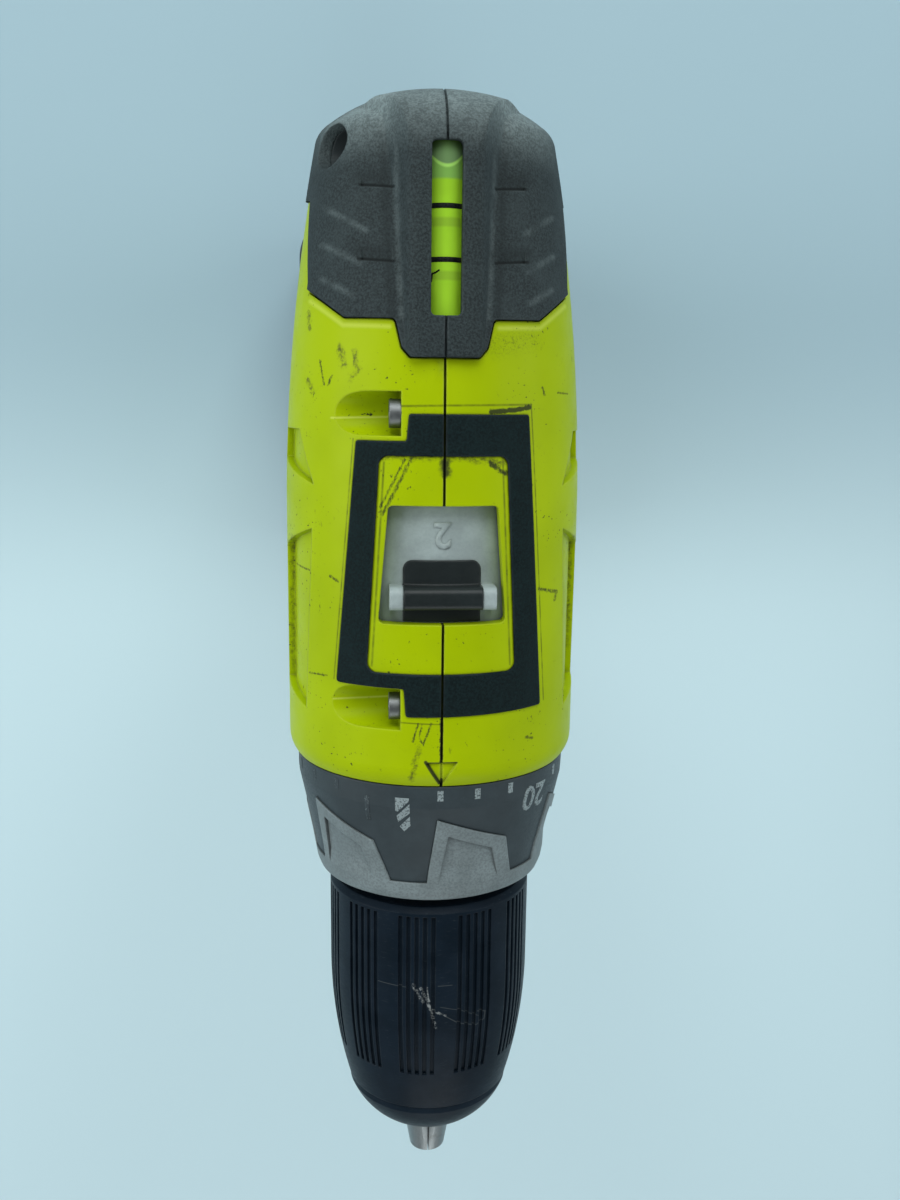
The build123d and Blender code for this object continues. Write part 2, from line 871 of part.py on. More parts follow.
with BuildPart() as housing:
    add(shell.part)
    add(screw_bosses.part)
    add(lower_bosses.part)
    add(grip_pocket.part, mode=Mode.SUBTRACT)
    add(handle_grip_pocket.part, mode=Mode.SUBTRACT)
    add(frame_pocket.part, mode=Mode.SUBTRACT)
    add(selector_window, mode=Mode.SUBTRACT)
    add(pointer_pocket.part, mode=Mode.SUBTRACT)
    add(side_recesses.part, mode=Mode.SUBTRACT)
    add(vents.part, mode=Mode.SUBTRACT)
    add(vial_channel.part, mode=Mode.SUBTRACT)
    add(level_window.part, mode=Mode.SUBTRACT)
    add(screw_recesses.part, mode=Mode.SUBTRACT)
    add(screw_holes.part, mode=Mode.SUBTRACT)
    add(trigger_slot.part, mode=Mode.SUBTRACT)
    add(lever_slot.part, mode=Mode.SUBTRACT)
    add(seam.part, mode=Mode.SUBTRACT)

with BuildPart() as housing_right:
    add(housing.part)
    split(bisect_by=Plane.YZ, keep=Keep.BOTTOM)

with BuildPart() as housing_left:
    add(housing.part)
    split(bisect_by=Plane.YZ, keep=Keep.TOP)


def ledge(distance):
    """Wedge cut on both sides of the rear rubber that leaves a step facing the rear."""
    hinge_y = at(distance + rear_grip_ledge_length)
    hinge = Axis((0, hinge_y, axis_z + rear_grip_ledge_height), (1, 0, 0))
    with BuildPart() as wedge:
        for side in (1, -1):
            add(
                top_prism(
                    (9.6 * side, distance),
                    (15.2 * side, distance + 0.5),
                    (15.2 * side, distance + 0.5 + rear_grip_ledge_length),
                    (9.6 * side, distance + rear_grip_ledge_length),
                )
            )
        add(barrel_rubber.rotate(hinge, rear_grip_ledge_lean), mode=Mode.SUBTRACT)
    return wedge.part


# Rubber on the rear end and on the handle
with BuildPart() as rear_grip_region:
    add(rear_plan)
    add(rear_side, mode=Mode.INTERSECT)
    add(rear_lower_side)

with BuildPart() as rear_grip_ledge_cuts:
    for distance in rear_grip_ledges:
        add(ledge(distance))
    add(ridge_rubber, mode=Mode.SUBTRACT)

with BuildPart() as rear_grip_seam:
    add(seam_slab)
    add(barrel(seam_groove_depth - grip_proud), mode=Mode.SUBTRACT)
    add(ridge_rubber_groove, mode=Mode.SUBTRACT)

with BuildPart() as rear_grip:
    add(barrel_rubber)
    add(ridge_rubber)
    add(rear_grip_region.part, mode=Mode.INTERSECT)
    add(barrel_bed, mode=Mode.SUBTRACT)
    add(ridge_bed, mode=Mode.SUBTRACT)
    add(level_window.part, mode=Mode.SUBTRACT)
    add(vial_channel.part, mode=Mode.SUBTRACT)
    add(screw_recesses.part, mode=Mode.SUBTRACT)
    add(rear_grip_ledge_cuts.part, mode=Mode.SUBTRACT)
    add(rear_grip_seam.part, mode=Mode.SUBTRACT)

with BuildPart() as rear_grip_right:
    add(rear_grip.part)
    split(bisect_by=Plane.YZ, keep=Keep.BOTTOM)

with BuildPart() as rear_grip_left:
    add(rear_grip.part)
    split(bisect_by=Plane.YZ, keep=Keep.TOP)

with BuildPart() as handle_grip:
    add(handle_rubber)
    add(handle_grip_side, mode=Mode.INTERSECT)
    add(handle_bed, mode=Mode.SUBTRACT)
    add(barrel_rubber, mode=Mode.SUBTRACT)
    add(screw_recesses.part, mode=Mode.SUBTRACT)

with BuildPart() as handle_grip_right:
    add(handle_grip.part)
    split(bisect_by=Plane.YZ, keep=Keep.BOTTOM)

with BuildPart() as handle_grip_left:
    add(handle_grip.part)
    split(bisect_by=Plane.YZ, keep=Keep.TOP)

# Dark inlay frame round the selector
with BuildPart() as top_frame:
    add(barrel_frame_top)
    add(frame_plan, mode=Mode.INTERSECT)
    add(frame_opening, mode=Mode.SUBTRACT)
    add(barrel_frame_bed, mode=Mode.SUBTRACT)
    add(screw_recesses.part, mode=Mode.SUBTRACT)
    add(seam_slab, mode=Mode.SUBTRACT)

with BuildPart() as top_frame_right:
    add(top_frame.part)
    split(bisect_by=Plane.YZ, keep=Keep.BOTTOM)

with BuildPart() as top_frame_left:
    add(top_frame.part)
    split(bisect_by=Plane.YZ, keep=Keep.TOP)

# Spirit level
with BuildPart() as level_vial:
    with BuildSketch(station(vial_middle + vial_length / 2)):
        with Locations((0, vial_height)):
            Circle(vial_radius)
    extrude(amount=vial_length)

# Motor
with BuildPart() as motor_can:
    add(tube(motor_front, motor_rear, can_radius - can_wall, can_radius))
    add(tube(motor_front, motor_front + can_wall, 6.0, can_radius - 0.5))

with BuildPart() as motor_end_cap:
    add(tube(motor_rear, motor_rear + end_cap_length, 6.0, can_radius - 0.1))

with BuildPart() as motor_bearings:
    add(tube(motor_front + 0.1, motor_front + 3.6, shaft_radius + 0.05, 5.9))
    add(tube(motor_rear, motor_rear + end_cap_length, shaft_radius + 0.05, 5.9))

armature_front = motor_front + 11
armature_rear = armature_front + armature_length
with BuildPart() as motor_magnets:
    inner = can_radius - can_wall - 0.1 - magnet_thickness
    add(tube(armature_front - 1, armature_rear + 1, inner, can_radius - can_wall - 0.1))
    add(block(-5, 5, armature_front - 5, armature_rear + 5, axis_z - 30, axis_z + 30), mode=Mode.SUBTRACT)

with BuildPart() as motor_plate:
    add(tube(motor_plate_front, motor_front, 8.4, case_radius - 0.1))

with BuildPart() as motor_shaft:
    add(gear(sun_teeth, planet1_front - 0.2, planet1_rear + 0.1))
    add(tube(planet1_front - 0.2, motor_rear + end_cap_length + 1, 0, shaft_radius))

with BuildPart() as armature:
    add(tube(armature_front, armature_rear, shaft_radius + 0.05, armature_radius))
    add(tube(armature_front - 3.4, armature_rear + 2.4, 4.0, armature_radius - 1.4))
    with BuildSketch(station(armature_rear)):
        with PolarLocations(armature_radius, armature_slots):
            Rectangle(2.6, 2.2)
    extrude(amount=armature_length, mode=Mode.SUBTRACT)

commutator_front = armature_rear + 3
with BuildPart() as commutator:
    commutator_rear = commutator_front + commutator_length - 2
    add(tube(commutator_front, commutator_rear, shaft_radius + 0.05, commutator_radius))

with BuildPart() as carbon_brushes:
    for side in (1, -1):
        x0 = side * (commutator_radius + 0.15)
        x1 = side * (can_radius - can_wall - 0.3)
        add(
            block(
                min(x0, x1),
                max(x0, x1),
                commutator_front + 0.5,
                commutator_front + 5.5,
                axis_z - 3,
                axis_z + 3,
            )
        )

fan_front = motor_front + can_wall + 2.4
with BuildPart() as motor_fan:
    add(tube(fan_front, fan_front + 1.2, shaft_radius + 0.05, 15.4))
    with BuildSketch(station(fan_front + 3.4)):
        with PolarLocations(10, 14):
            Rectangle(10, 0.9)
    extrude(amount=3.0)

# Gearbox case with its nose, on which the clutch nut and the torque collar ride
with BuildPart() as gearbox_case:
    add(tube(case_front, motor_plate_front, case_bore_radius, case_radius))
    add(tube(case_front, case_front + case_wall, spindle_shoulder_radius + 0.3, case_radius))
    add(tube(at(-nose_reach), case_front + 1, spindle_shoulder_radius + 0.3, nose_radius))
    bearing_seat = at(-nose_reach + bearing_width + 0.6)
    add(tube(at(-nose_reach), bearing_seat, 0, bearing_radius + 0.05), mode=Mode.SUBTRACT)
    with BuildSketch(station(case_front + case_wall + 1)):
        with PolarLocations(clutch_pin_circle, clutch_pin_count, start_angle=90):
            Circle(clutch_pin_radius + 0.1)
    extrude(amount=case_wall + 2, mode=Mode.SUBTRACT)
    with BuildSketch(station(ring2_rear + shift_travel + 0.3)):
        Circle(case_bore_radius + 0.4)
        Circle(case_bore_radius - 1.15, mode=Mode.SUBTRACT)
        with BuildSketch(mode=Mode.INTERSECT):
            half = radians(lug_angle / 2)
            for index in range(lug_count):
                middle = pi / 2 + (index + 0.5) * 2 * pi / lug_count
                with BuildLine():
                    Polyline(
                        (0, 0),
                        (40 * cos(middle - half), 40 * sin(middle - half)),
                        (40 * cos(middle + half), 40 * sin(middle + half)),
                        close=True,
                    )
                make_face()
    extrude(amount=lug_length + 0.6)
    add(
        block(
            -fork_half - 0.5,
            fork_half + 0.5,
            ring2_front + 3.4,
            ring2_front + 7.6 + shift_travel,
            axis_z + 15,
            axis_z + 40,
        ),
        mode=Mode.SUBTRACT,
    )

# Ring gears
ring1_bore = ring_bore(ring1_front - 1, motor_plate_front + 1)
with BuildPart() as ring_gear_1:
    add(tube(ring1_front, motor_plate_front, 5, ring_radius))
    add(ring1_bore, mode=Mode.SUBTRACT)

ring2_bore = ring_bore(ring2_front - 1, ring2_rear + 1)
fork_y = ring2_front + 4.2 + fork_thickness / 2
with BuildPart() as ring_gear_2:
    add(tube(ring2_front, ring2_rear, 5, case_bore_radius - 1.4))
    with BuildSketch(station(ring2_rear)):
        Circle(case_bore_radius - 0.3)
        Circle(case_bore_radius - 1.8, mode=Mode.SUBTRACT)
        with BuildSketch(mode=Mode.INTERSECT):
            half = radians(lug_angle / 2)
            for index in range(lug_count):
                middle = pi / 2 + index * 2 * pi / lug_count
                with BuildLine():
                    Polyline(
                        (0, 0),
                        (40 * cos(middle - half), 40 * sin(middle - half)),
                        (40 * cos(middle + half), 40 * sin(middle + half)),
                        close=True,
                    )
                make_face()
    extrude(amount=lug_length)
    add(ring2_bore, mode=Mode.SUBTRACT)
    add(
        tube(fork_y - fork_thickness / 2 - 0.25, fork_y + fork_thickness / 2 + 0.25, fork_groove_radius, 40),
        mode=Mode.SUBTRACT,
    )

ring3_bore = ring_bore(planet3_front - 2, planet3_rear + 2)
with BuildPart() as ring_gear_3:
    add(tube(planet3_front, planet3_rear + 0.4, 5, ring_radius))
    with BuildSketch(station(planet3_front)):
        with PolarLocations(clutch_pin_circle + 0.2, clutch_pin_count, start_angle=120):
            Rectangle(2.4, 5.0)
    extrude(amount=1.2)
    add(ring3_bore, mode=Mode.SUBTRACT)

# Planets and carriers
first_planet = planet(planet1_front, planet1_rear)
with BuildPart() as stage1_planet_a:
    add(first_planet)

with BuildPart() as stage1_planet_b:
    add(around(first_planet, 1, planet_count))

with BuildPart() as stage1_planet_c:
    add(around(first_planet, 2, planet_count))

with BuildPart() as carrier_1:
    add(tube(carrier1_front, carrier1_front + carrier_thickness, 0, carrier_radius))
    add(pins(carrier1_front, planet1_rear - 0.4))
    add(gear(sun_teeth, planet2_front + 0.2, carrier1_front + 0.5))

second_planet = planet(planet2_front, planet2_rear)
with BuildPart() as stage2_planets:
    add(second_planet)
    add(around(second_planet, 1, planet_count))
    add(around(second_planet, 2, planet_count))

rim_outline = toothed(
    ring_teeth,
    ring_pitch_radius,
    ring_pitch_radius + 0.8 * module,
    ring_pitch_radius - 1.2 * module,
    tooth_width,
)
with BuildPart() as carrier_2:
    with BuildSketch(station(carrier2_rear)):
        with BuildLine():
            Polyline(*rim_outline, close=True)
        make_face()
    extrude(amount=coupling_rim_width)
    add(pins(carrier2_front, planet2_rear - 0.4))
    add(gear(sun_teeth, planet3_front + 0.2, carrier2_front + 0.5))

third_planet = planet(planet3_front, planet3_rear)
with BuildPart() as stage3_planet_a:
    add(third_planet)

with BuildPart() as stage3_planet_b:
    add(around(third_planet, 1, planet_count))

with BuildPart() as stage3_planet_c:
    add(around(third_planet, 2, planet_count))

with BuildPart() as output_carrier:
    add(tube(output_front, output_rear, 0, carrier_radius))
    add(pins(output_front, planet3_rear - 0.4))
    add(tube(output_front - 1, output_rear + 1, 0, spindle_radius + 0.05), mode=Mode.SUBTRACT)

# Clutch: pins that press on the third ring gear, spring and nut
with BuildPart() as clutch_pins:
    with BuildSketch(station(planet3_front - 0.1)):
        with PolarLocations(clutch_pin_circle, clutch_pin_count, start_angle=90):
            Circle(clutch_pin_radius)
    extrude(amount=planet3_front - 0.1 - case_front + 1.0)

nut_front = at(clutch_nut_station)
nut_rear = nut_front + clutch_nut_length
with BuildPart() as clutch_spring:
    add(tube(nut_rear + 0.1, case_front - 1.2, clutch_spring_inner, clutch_spring_outer))

with BuildPart() as clutch_nut:
    add(tube(nut_front, nut_rear, nose_radius + 0.1, clutch_nut_radius))
    with BuildSketch(station(nut_rear)):
        with PolarLocations(clutch_nut_radius - 0.2, 3, start_angle=30):
            Rectangle(2.6, 5.0)
    extrude(amount=clutch_nut_length)

# Spindle and bearing
with BuildPart() as spindle:
    add(
        turned(
            (at(-46.5), 0),
            (at(-46.5), spindle_thread_radius),
            (at(-nose_reach - 1), spindle_thread_radius),
            (at(-nose_reach - 1), spindle_radius),
            (at(-nose_reach + bearing_width + 0.8), spindle_radius),
            (at(-nose_reach + bearing_width + 0.8), spindle_shoulder_radius),
            (output_front - 0.3, spindle_shoulder_radius),
            (output_front - 0.3, spindle_radius),
            (output_rear, spindle_radius),
            (output_rear, 0),
        )
    )

with BuildPart() as spindle_bearing:
    bearing_front = at(-nose_reach + 0.4)
    add(tube(bearing_front, bearing_front + bearing_width, spindle_radius + 0.1, bearing_radius))


def collar(inset):
    """Torque collar with its skin moved inward by inset."""
    front = at(-collar_length)
    return turned(
        (at(-collar_gap), 0),
        (at(-collar_gap), collar_band_radius + 0.2 - inset),
        (at(-5), collar_band_radius - inset),
        (at(-19), collar_neck_radius - inset),
        (at(-collar_length + 2.2), collar_front_radius - inset),
        (front + 0.7, collar_front_radius - 0.6 - inset),
        (front, collar_front_radius - 1.8 - inset),
        (front, 0),
    )


def arch_plane(index):
    """Plane through the chuck axis that looks outward through one arch of the collar."""
    turn = radians(17 + 360 * index / collar_arches)
    return Plane(origin=(0, 0, axis_z), x_dir=(cos(turn), 0, -sin(turn)), z_dir=(sin(turn), 0, cos(turn)))


# Floor of the panels inside the arches, which rises to the skin at the front
arch_floor = turned(
    (at(-collar_gap), 0),
    (at(-collar_gap), collar_band_radius + 0.2 - arch_panel_depth),
    (at(-5), collar_band_radius - arch_panel_depth),
    (at(-19), collar_neck_radius - arch_panel_depth / 3),
    (at(-23), collar_front_radius + 0.35 + collar_grip_proud),
    (at(-collar_length), collar_front_radius + 0.35 + collar_grip_proud),
    (at(-collar_length), 0),
)

# Torque collar: dark body and a lighter grip skin with slanted arches
with BuildPart() as arch_blocks:
    for index in range(collar_arches):
        with BuildSketch(arch_plane(index)):
            with BuildLine():
                Polyline(
                    (-8.8, at(-7.5)),
                    (6.6, at(-13.3)),
                    (9.0, at(-22.5)),
                    (-9.6, at(-22.5)),
                    close=True,
                )
            make_face()
        extrude(amount=45)
    add(tube(at(-collar_length - 1), at(-22.3), 5, 45))

with BuildPart() as arch_panels:
    for index in range(collar_arches):
        with BuildSketch(arch_plane(index)):
            with BuildLine():
                Polyline(
                    (-6.4, at(-11.3)),
                    (3.4, at(-15.2)),
                    (6.0, at(-24.0)),
                    (-7.6, at(-24.0)),
                    close=True,
                )
            make_face()
        extrude(amount=45)
    add(arch_floor, mode=Mode.SUBTRACT)

with BuildPart() as collar_grip:
    add(collar(-collar_grip_proud))
    add(arch_blocks.part, mode=Mode.INTERSECT)
    add(collar(collar_skin), mode=Mode.SUBTRACT)
    add(arch_panels.part, mode=Mode.SUBTRACT)

with BuildPart() as collar_skin_cut:
    add(arch_blocks.part)
    add(collar(collar_skin), mode=Mode.SUBTRACT)

with BuildPart() as torque_collar:
    add(collar(0))
    add(collar_skin_cut.part, mode=Mode.SUBTRACT)
    add(tube(at(-collar_length + 4), at(2), 0, collar_bore), mode=Mode.SUBTRACT)
    add(tube(at(-collar_length - 2), at(2), 0, nose_radius + 0.3), mode=Mode.SUBTRACT)
    with BuildSketch(station(at(1))):
        with PolarLocations(clutch_nut_radius - 0.2, 3, start_angle=30):
            Rectangle(3.2, 5.6)
    extrude(amount=collar_length - 3, mode=Mode.SUBTRACT)


def sleeve(inset):
    """Chuck sleeve with its skin moved inward by inset."""
    start = (at(sleeve_straight_end), sleeve_radius - inset)
    end = (at(sleeve_end), sleeve_mouth_radius - inset)
    drop = sleeve_radius - sleeve_mouth_radius
    middle = ((start[0] + end[0]) / 2, sleeve_radius - inset - drop / 4)
    with BuildPart() as form:
        with BuildSketch(PROFILE):
            with BuildLine():
                Polyline(
                    (at(sleeve_end), 0),
                    (at(chuck_start), 0),
                    (at(chuck_start), sleeve_radius - 1.0 - inset),
                    (at(chuck_start - 1.2), sleeve_radius - inset),
                    start,
                )
                ThreePointArc(start, middle, end)
                Line(end, (at(sleeve_end), 0))
            make_face()
        revolve(axis=AXIS)
    return form.part


# Chuck sleeve with groups of grooves
sleeve_skin = sleeve(0)
with BuildPart() as sleeve_grooves:
    with BuildSketch(station(at(chuck_start - 1.9))):
        for group in range(groove_groups):
            for index in range(grooves_in_group):
                offset = (index - (grooves_in_group - 1) / 2) * groove_pitch_angle
                angle = 100.5 - 360 * group / groove_groups + offset
                with PolarLocations(sleeve_radius, 1, start_angle=angle):
                    Rectangle(8, groove_width)
    extrude(amount=chuck_start - 1.9 - groove_front)
    add(sleeve(groove_depth), mode=Mode.SUBTRACT)

with BuildPart() as chuck_sleeve:
    add(sleeve_skin)
    add(tube(at(-62), at(chuck_start - 1.6), 0, sleeve_bore), mode=Mode.SUBTRACT)
    add(tube(at(sleeve_end - 1), at(chuck_start + 1), 0, sleeve_front_bore), mode=Mode.SUBTRACT)
    add(tube(at(chuck_start - 2), at(chuck_start + 1), 0, 17.5), mode=Mode.SUBTRACT)
    add(sleeve_grooves.part, mode=Mode.SUBTRACT)


def nose(inset):
    """Rounded nose of the chuck, its skin moved inward by inset."""
    rear = at(sleeve_end - 0.1)
    start = (at(sleeve_end - 1.6), sleeve_mouth_radius - 0.3 - inset)
    end = (at(nose_ring_end) + 0.55 * inset, nose_ring_radius - 0.1 * inset)
    reach = sqrt((end[0] - start[0]) ** 2 + (end[1] - start[1]) ** 2)
    forward = (start[1] - end[1]) / reach
    outward = (start[0] - end[0]) / reach
    middle_y = (start[0] + end[0]) / 2 - nose_ring_bulge * forward
    middle_r = (start[1] + end[1]) / 2 + nose_ring_bulge * outward
    with BuildPart() as form:
        with BuildSketch(PROFILE):
            with BuildLine():
                Polyline(end, (end[0], 0), (rear, 0), (rear, start[1]), start)
                ThreePointArc(start, (middle_y, middle_r), end)
            make_face()
        revolve(axis=AXIS)
    return form.part


with BuildPart() as chuck_nose_ring:
    add(nose(0))
    add(nose(nose_wall), mode=Mode.SUBTRACT)
    add(tube(at(nose_ring_end - 1), at(sleeve_end), 0, nose_hole_radius), mode=Mode.SUBTRACT)


def jaw_outer(distance):
    """Outermost radius of a jaw at a distance behind the joint, with the chuck closed."""
    return jaw_tip_outer + (distance - jaw_tip) * jaw_slope


def jaw_rod(radius, start, end):
    """Round rod along the top jaw's slanted axis between two stations."""
    lean = radians(jaw_angle)
    offset = jaw_outer(start) - jaw_radius / cos(lean)
    axis_plane = Plane(
        origin=(0, at(start), axis_z + offset),
        x_dir=(1, 0, 0),
        z_dir=(0, cos(lean), sin(lean)),
    )
    with BuildPart() as form:
        with BuildSketch(axis_plane):
            Circle(radius)
        extrude(amount=(end - start) / cos(lean))
    return form.part


with BuildPart() as jaw_sector:
    with BuildSketch(station(at(jaw_tip + 60))):
        with BuildLine():
            Polyline(
                (0, jaw_clearance),
                (60 * sin(pi / 3), jaw_clearance + 60 * cos(pi / 3)),
                (-60 * sin(pi / 3), jaw_clearance + 60 * cos(pi / 3)),
                close=True,
            )
        make_face()
    extrude(amount=60)

# The jaws' noses are ground to a slimmer cone
jaw_nose_end = jaw_tip + jaw_nose_length
jaw_envelope = turned(
    (at(jaw_tip), 0),
    (at(jaw_tip), jaw_nose_radius),
    (at(jaw_nose_end), jaw_nose_radius + jaw_nose_slope * jaw_nose_length),
    (at(jaw_nose_end), 40),
    (at(jaw_tip + 60), 40),
    (at(jaw_tip + 60), 0),
)
jaw_body = jaw_rod(jaw_radius, jaw_tip - 6, jaw_tip + jaw_length)
with BuildPart() as jaw:
    add(jaw_body)
    add(jaw_sector.part, mode=Mode.INTERSECT)
    add(jaw_envelope, mode=Mode.INTERSECT)

with BuildPart() as chuck_jaw_a:
    add(jaw.part.rotate(AXIS, 60))

with BuildPart() as chuck_jaw_b:
    add(jaw.part.rotate(AXIS, 180))

with BuildPart() as chuck_jaw_c:
    add(jaw.part.rotate(AXIS, 300))

jaw_bore = jaw_rod(jaw_radius + 0.15, jaw_tip - 6, -20)
nut_rear_station = chuck_nut_front + chuck_nut_length
with BuildPart() as chuck_body:
    add(
        turned(
            (at(-29.3), 0),
            (at(-29.3), 17.3),
            (at(-36), 17.3),
            (at(-36), chuck_body_radius),
            (at(sleeve_end - 1.6), chuck_body_radius),
            (at(sleeve_end - 1.6), 0),
        )
    )
    add(nose(nose_wall + nose_clearance))
    add(
        turned(
            (at(chuck_nut_front - 0.3), jaw_outer(chuck_nut_front - 0.3) - 0.1),
            (at(nut_rear_station + 0.3), jaw_outer(nut_rear_station + 0.3) - 0.1),
            (at(nut_rear_station + 0.3), 40),
            (at(chuck_nut_front - 0.3), 40),
        ),
        mode=Mode.SUBTRACT,
    )
    add(jaw_bore.rotate(AXIS, 60), mode=Mode.SUBTRACT)
    add(jaw_bore.rotate(AXIS, 180), mode=Mode.SUBTRACT)
    add(jaw_bore.rotate(AXIS, 300), mode=Mode.SUBTRACT)
    add(tube(at(-100), at(-53), 0, 6.6), mode=Mode.SUBTRACT)
    add(tube(at(-47), at(-20), 0, spindle_thread_radius + 0.05), mode=Mode.SUBTRACT)

with BuildPart() as chuck_nut:
    add(
        turned(
            (at(chuck_nut_front), jaw_outer(chuck_nut_front) + 0.3),
            (at(nut_rear_station), jaw_outer(nut_rear_station) + 0.3),
            (at(nut_rear_station), sleeve_front_bore - 0.1),
            (at(chuck_nut_front), sleeve_front_bore - 0.1),
        )
    )

# Speed selector: curved plate under the housing's window, bar, pad and shift fork
with BuildPart() as speed_selector:
    add(tube(at(selector_front), at(selector_rear), selector_top - selector_thickness, selector_top))
    add(block(-14.4, 14.4, -200, 200, axis_z + 10, axis_z + 60), mode=Mode.INTERSECT)
    add(block(-bar_half, -pad_half, at(bar_front), at(bar_front + bar_width), axis_z + 26, axis_z + bar_top))
    add(block(pad_half, bar_half, at(bar_front), at(bar_front + bar_width), axis_z + 26, axis_z + bar_top))
    cross_edges = speed_selector.edges().filter_by(Axis.X)
    fillet(cross_edges.filter_by(lambda e: e.center().Z > axis_z + bar_top - 0.01), radius=bar_round)
    add(tube(-200, 200, 0, selector_top - selector_thickness), mode=Mode.SUBTRACT)

with BuildPart() as selector_pad:
    add(
        tube(
            at(window_front + 0.15),
            at(pad_rear),
            selector_top + 0.02,
            selector_top + pad_thickness,
        )
    )
    add(block(-pad_half + 0.05, pad_half - 0.05, -200, 200, axis_z + 10, axis_z + 60), mode=Mode.INTERSECT)
    upright_edges = selector_pad.edges().filter_by(Axis.Z)
    fillet(upright_edges.filter_by(lambda e: e.center().Y > at(pad_rear) - 0.1), radius=pad_corner)
    add(
        block(
            -pad_half + 0.05,
            pad_half - 0.05,
            at(bar_front),
            at(bar_front + bar_width),
            axis_z + 24,
            axis_z + bar_top + 0.2,
        )
    )
    cross_edges = selector_pad.edges().filter_by(Axis.X)
    fillet(cross_edges.filter_by(lambda e: e.center().Z > axis_z + bar_top), radius=bar_round)
    add(tube(-200, 200, 0, selector_top + 0.02), mode=Mode.SUBTRACT)

with BuildPart() as shift_fork:
    add(
        tube(
            fork_y - fork_thickness / 2,
            fork_y + fork_thickness / 2,
            fork_groove_radius + 0.2,
            selector_top - selector_thickness - 0.02,
        )
    )
    add(block(-fork_half, fork_half, -200, 200, axis_z + 10, axis_z + 60), mode=Mode.INTERSECT)

# Trigger, switch and direction lever
trigger_y = at(trigger_front)
with BuildPart() as trigger:
    with BuildSketch(PROFILE):
        with BuildLine():
            top_point = (trigger_y + 1, trigger_top)
            low_point = (trigger_y + 2, trigger_bottom)
            Polyline(
                top_point,
                (trigger_y + trigger_depth, trigger_top),
                (trigger_y + trigger_depth, trigger_bottom),
                low_point,
            )
            ThreePointArc(low_point, (trigger_y + 4.6, (trigger_top + trigger_bottom) / 2), top_point)
        make_face()
    extrude(amount=trigger_half, both=True)
    front_edges = trigger.edges().filter_by(lambda e: abs(e.center().X) > trigger_half - 0.01)
    fillet(front_edges.filter_by(GeomType.CIRCLE), radius=3.0)
    stem_plane = Plane(
        origin=(0, trigger_y + trigger_depth - 1, axis_z + (trigger_top + trigger_bottom) / 2),
        x_dir=(1, 0, 0),
        z_dir=(0, 1, 0),
    )
    with BuildSketch(stem_plane):
        Circle(trigger_stem_radius)
    extrude(amount=trigger_travel + 8)

with BuildPart() as switch_body:
    add(block(-switch_half, switch_half, switch_front, switch_front + switch_depth, switch_z0, switch_z1))
    with BuildSketch(stem_plane):
        Circle(trigger_stem_radius + 0.3)
    extrude(amount=2 * trigger_travel + 10, mode=Mode.SUBTRACT)

with BuildPart() as direction_lever:
    lever_plane = Plane(origin=(-lever_half_length, lever_y, lever_z), x_dir=(0, 1, 0), z_dir=(1, 0, 0))
    with BuildSketch(lever_plane):
        RectangleRounded(lever_width, lever_height, 2.0)
    extrude(amount=2 * lever_half_length)
    fillet(direction_lever.faces().sort_by(Axis.X)[0].edges(), radius=1.0)
    fillet(direction_lever.faces().sort_by(Axis.X)[-1].edges(), radius=1.0)

with BuildPart() as terminal_block:
    add(block(-13, 13, handle_base_y - 11, handle_base_y + 11, block_z0, block_z1))

# Battery
lid_top = battery_height - battery_gap
with BuildPart() as battery_case:
    with BuildSketch(Plane.XY):
        RectangleRounded(battery_width, battery_length, battery_round)
    extrude(amount=battery_split)
    fillet(battery_case.faces().sort_by(Axis.Z)[0].edges(), radius=1.6)
    chamfer(battery_case.faces().sort_by(Axis.Z)[-1].edges(), length=battery_parting)
    with BuildSketch(Plane.XY.offset(battery_wall)):
        RectangleRounded(
            battery_width - 2 * battery_wall,
            battery_length - 2 * battery_wall,
            battery_round - battery_wall,
        )
    extrude(amount=battery_split, mode=Mode.SUBTRACT)
    for index in range(battery_groove_count):
        groove_z = battery_groove_rise + index * battery_groove_pitch
        with Locations((battery_width / 2, 0, groove_z), (-battery_width / 2, 0, groove_z)):
            Box(
                2 * battery_groove_depth,
                battery_groove_length,
                battery_groove_width,
                mode=Mode.SUBTRACT,
            )

with BuildPart() as battery_lid:
    with BuildSketch(Plane.XY.offset(battery_split)):
        RectangleRounded(battery_width, battery_length, battery_round)
    extrude(amount=lid_top - battery_split)
    fillet(battery_lid.faces().sort_by(Axis.Z)[-1].edges(), radius=2.0)
    chamfer(battery_lid.faces().sort_by(Axis.Z)[0].edges(), length=battery_parting)
    with BuildSketch(Plane.XY.offset(lid_top - 1)):
        with Locations((0, handle_base_y)):
            RectangleRounded(post_width, post_depth, post_round)
    extrude(amount=post_height + 1)
    with BuildSketch(Plane.XY.offset(battery_split - 1)):
        RectangleRounded(
            battery_width - 2 * battery_wall,
            battery_length - 2 * battery_wall,
            battery_round - battery_wall,
        )
    extrude(amount=lid_top - battery_wall - battery_split + 1, mode=Mode.SUBTRACT)
    with BuildSketch(Plane.XY.offset(battery_split)):
        with Locations((0, handle_base_y)):
            RectangleRounded(
                post_width - 2 * battery_wall,
                post_depth - 2 * battery_wall,
                post_round - battery_wall,
            )
    extrude(amount=post_top - battery_wall - battery_split, mode=Mode.SUBTRACT)
    add(
        block(
            -60,
            60,
            -latch_length / 2 - 0.3,
            latch_length / 2 + 0.3,
            latch_rise - latch_height / 2 - 0.3,
            latch_rise + latch_height / 2 + 0.3,
        ),
        mode=Mode.SUBTRACT,
    )

cell_z = battery_wall + 0.2 + cell_radius
with BuildPart() as battery_cells:
    for row in range(2):
        for index in range(cells_in_row):
            y = (index - (cells_in_row - 1) / 2) * cell_pitch
            add(cross_rod(y, cell_z + row * cell_pitch, -cell_length / 2, cell_length / 2, cell_radius))


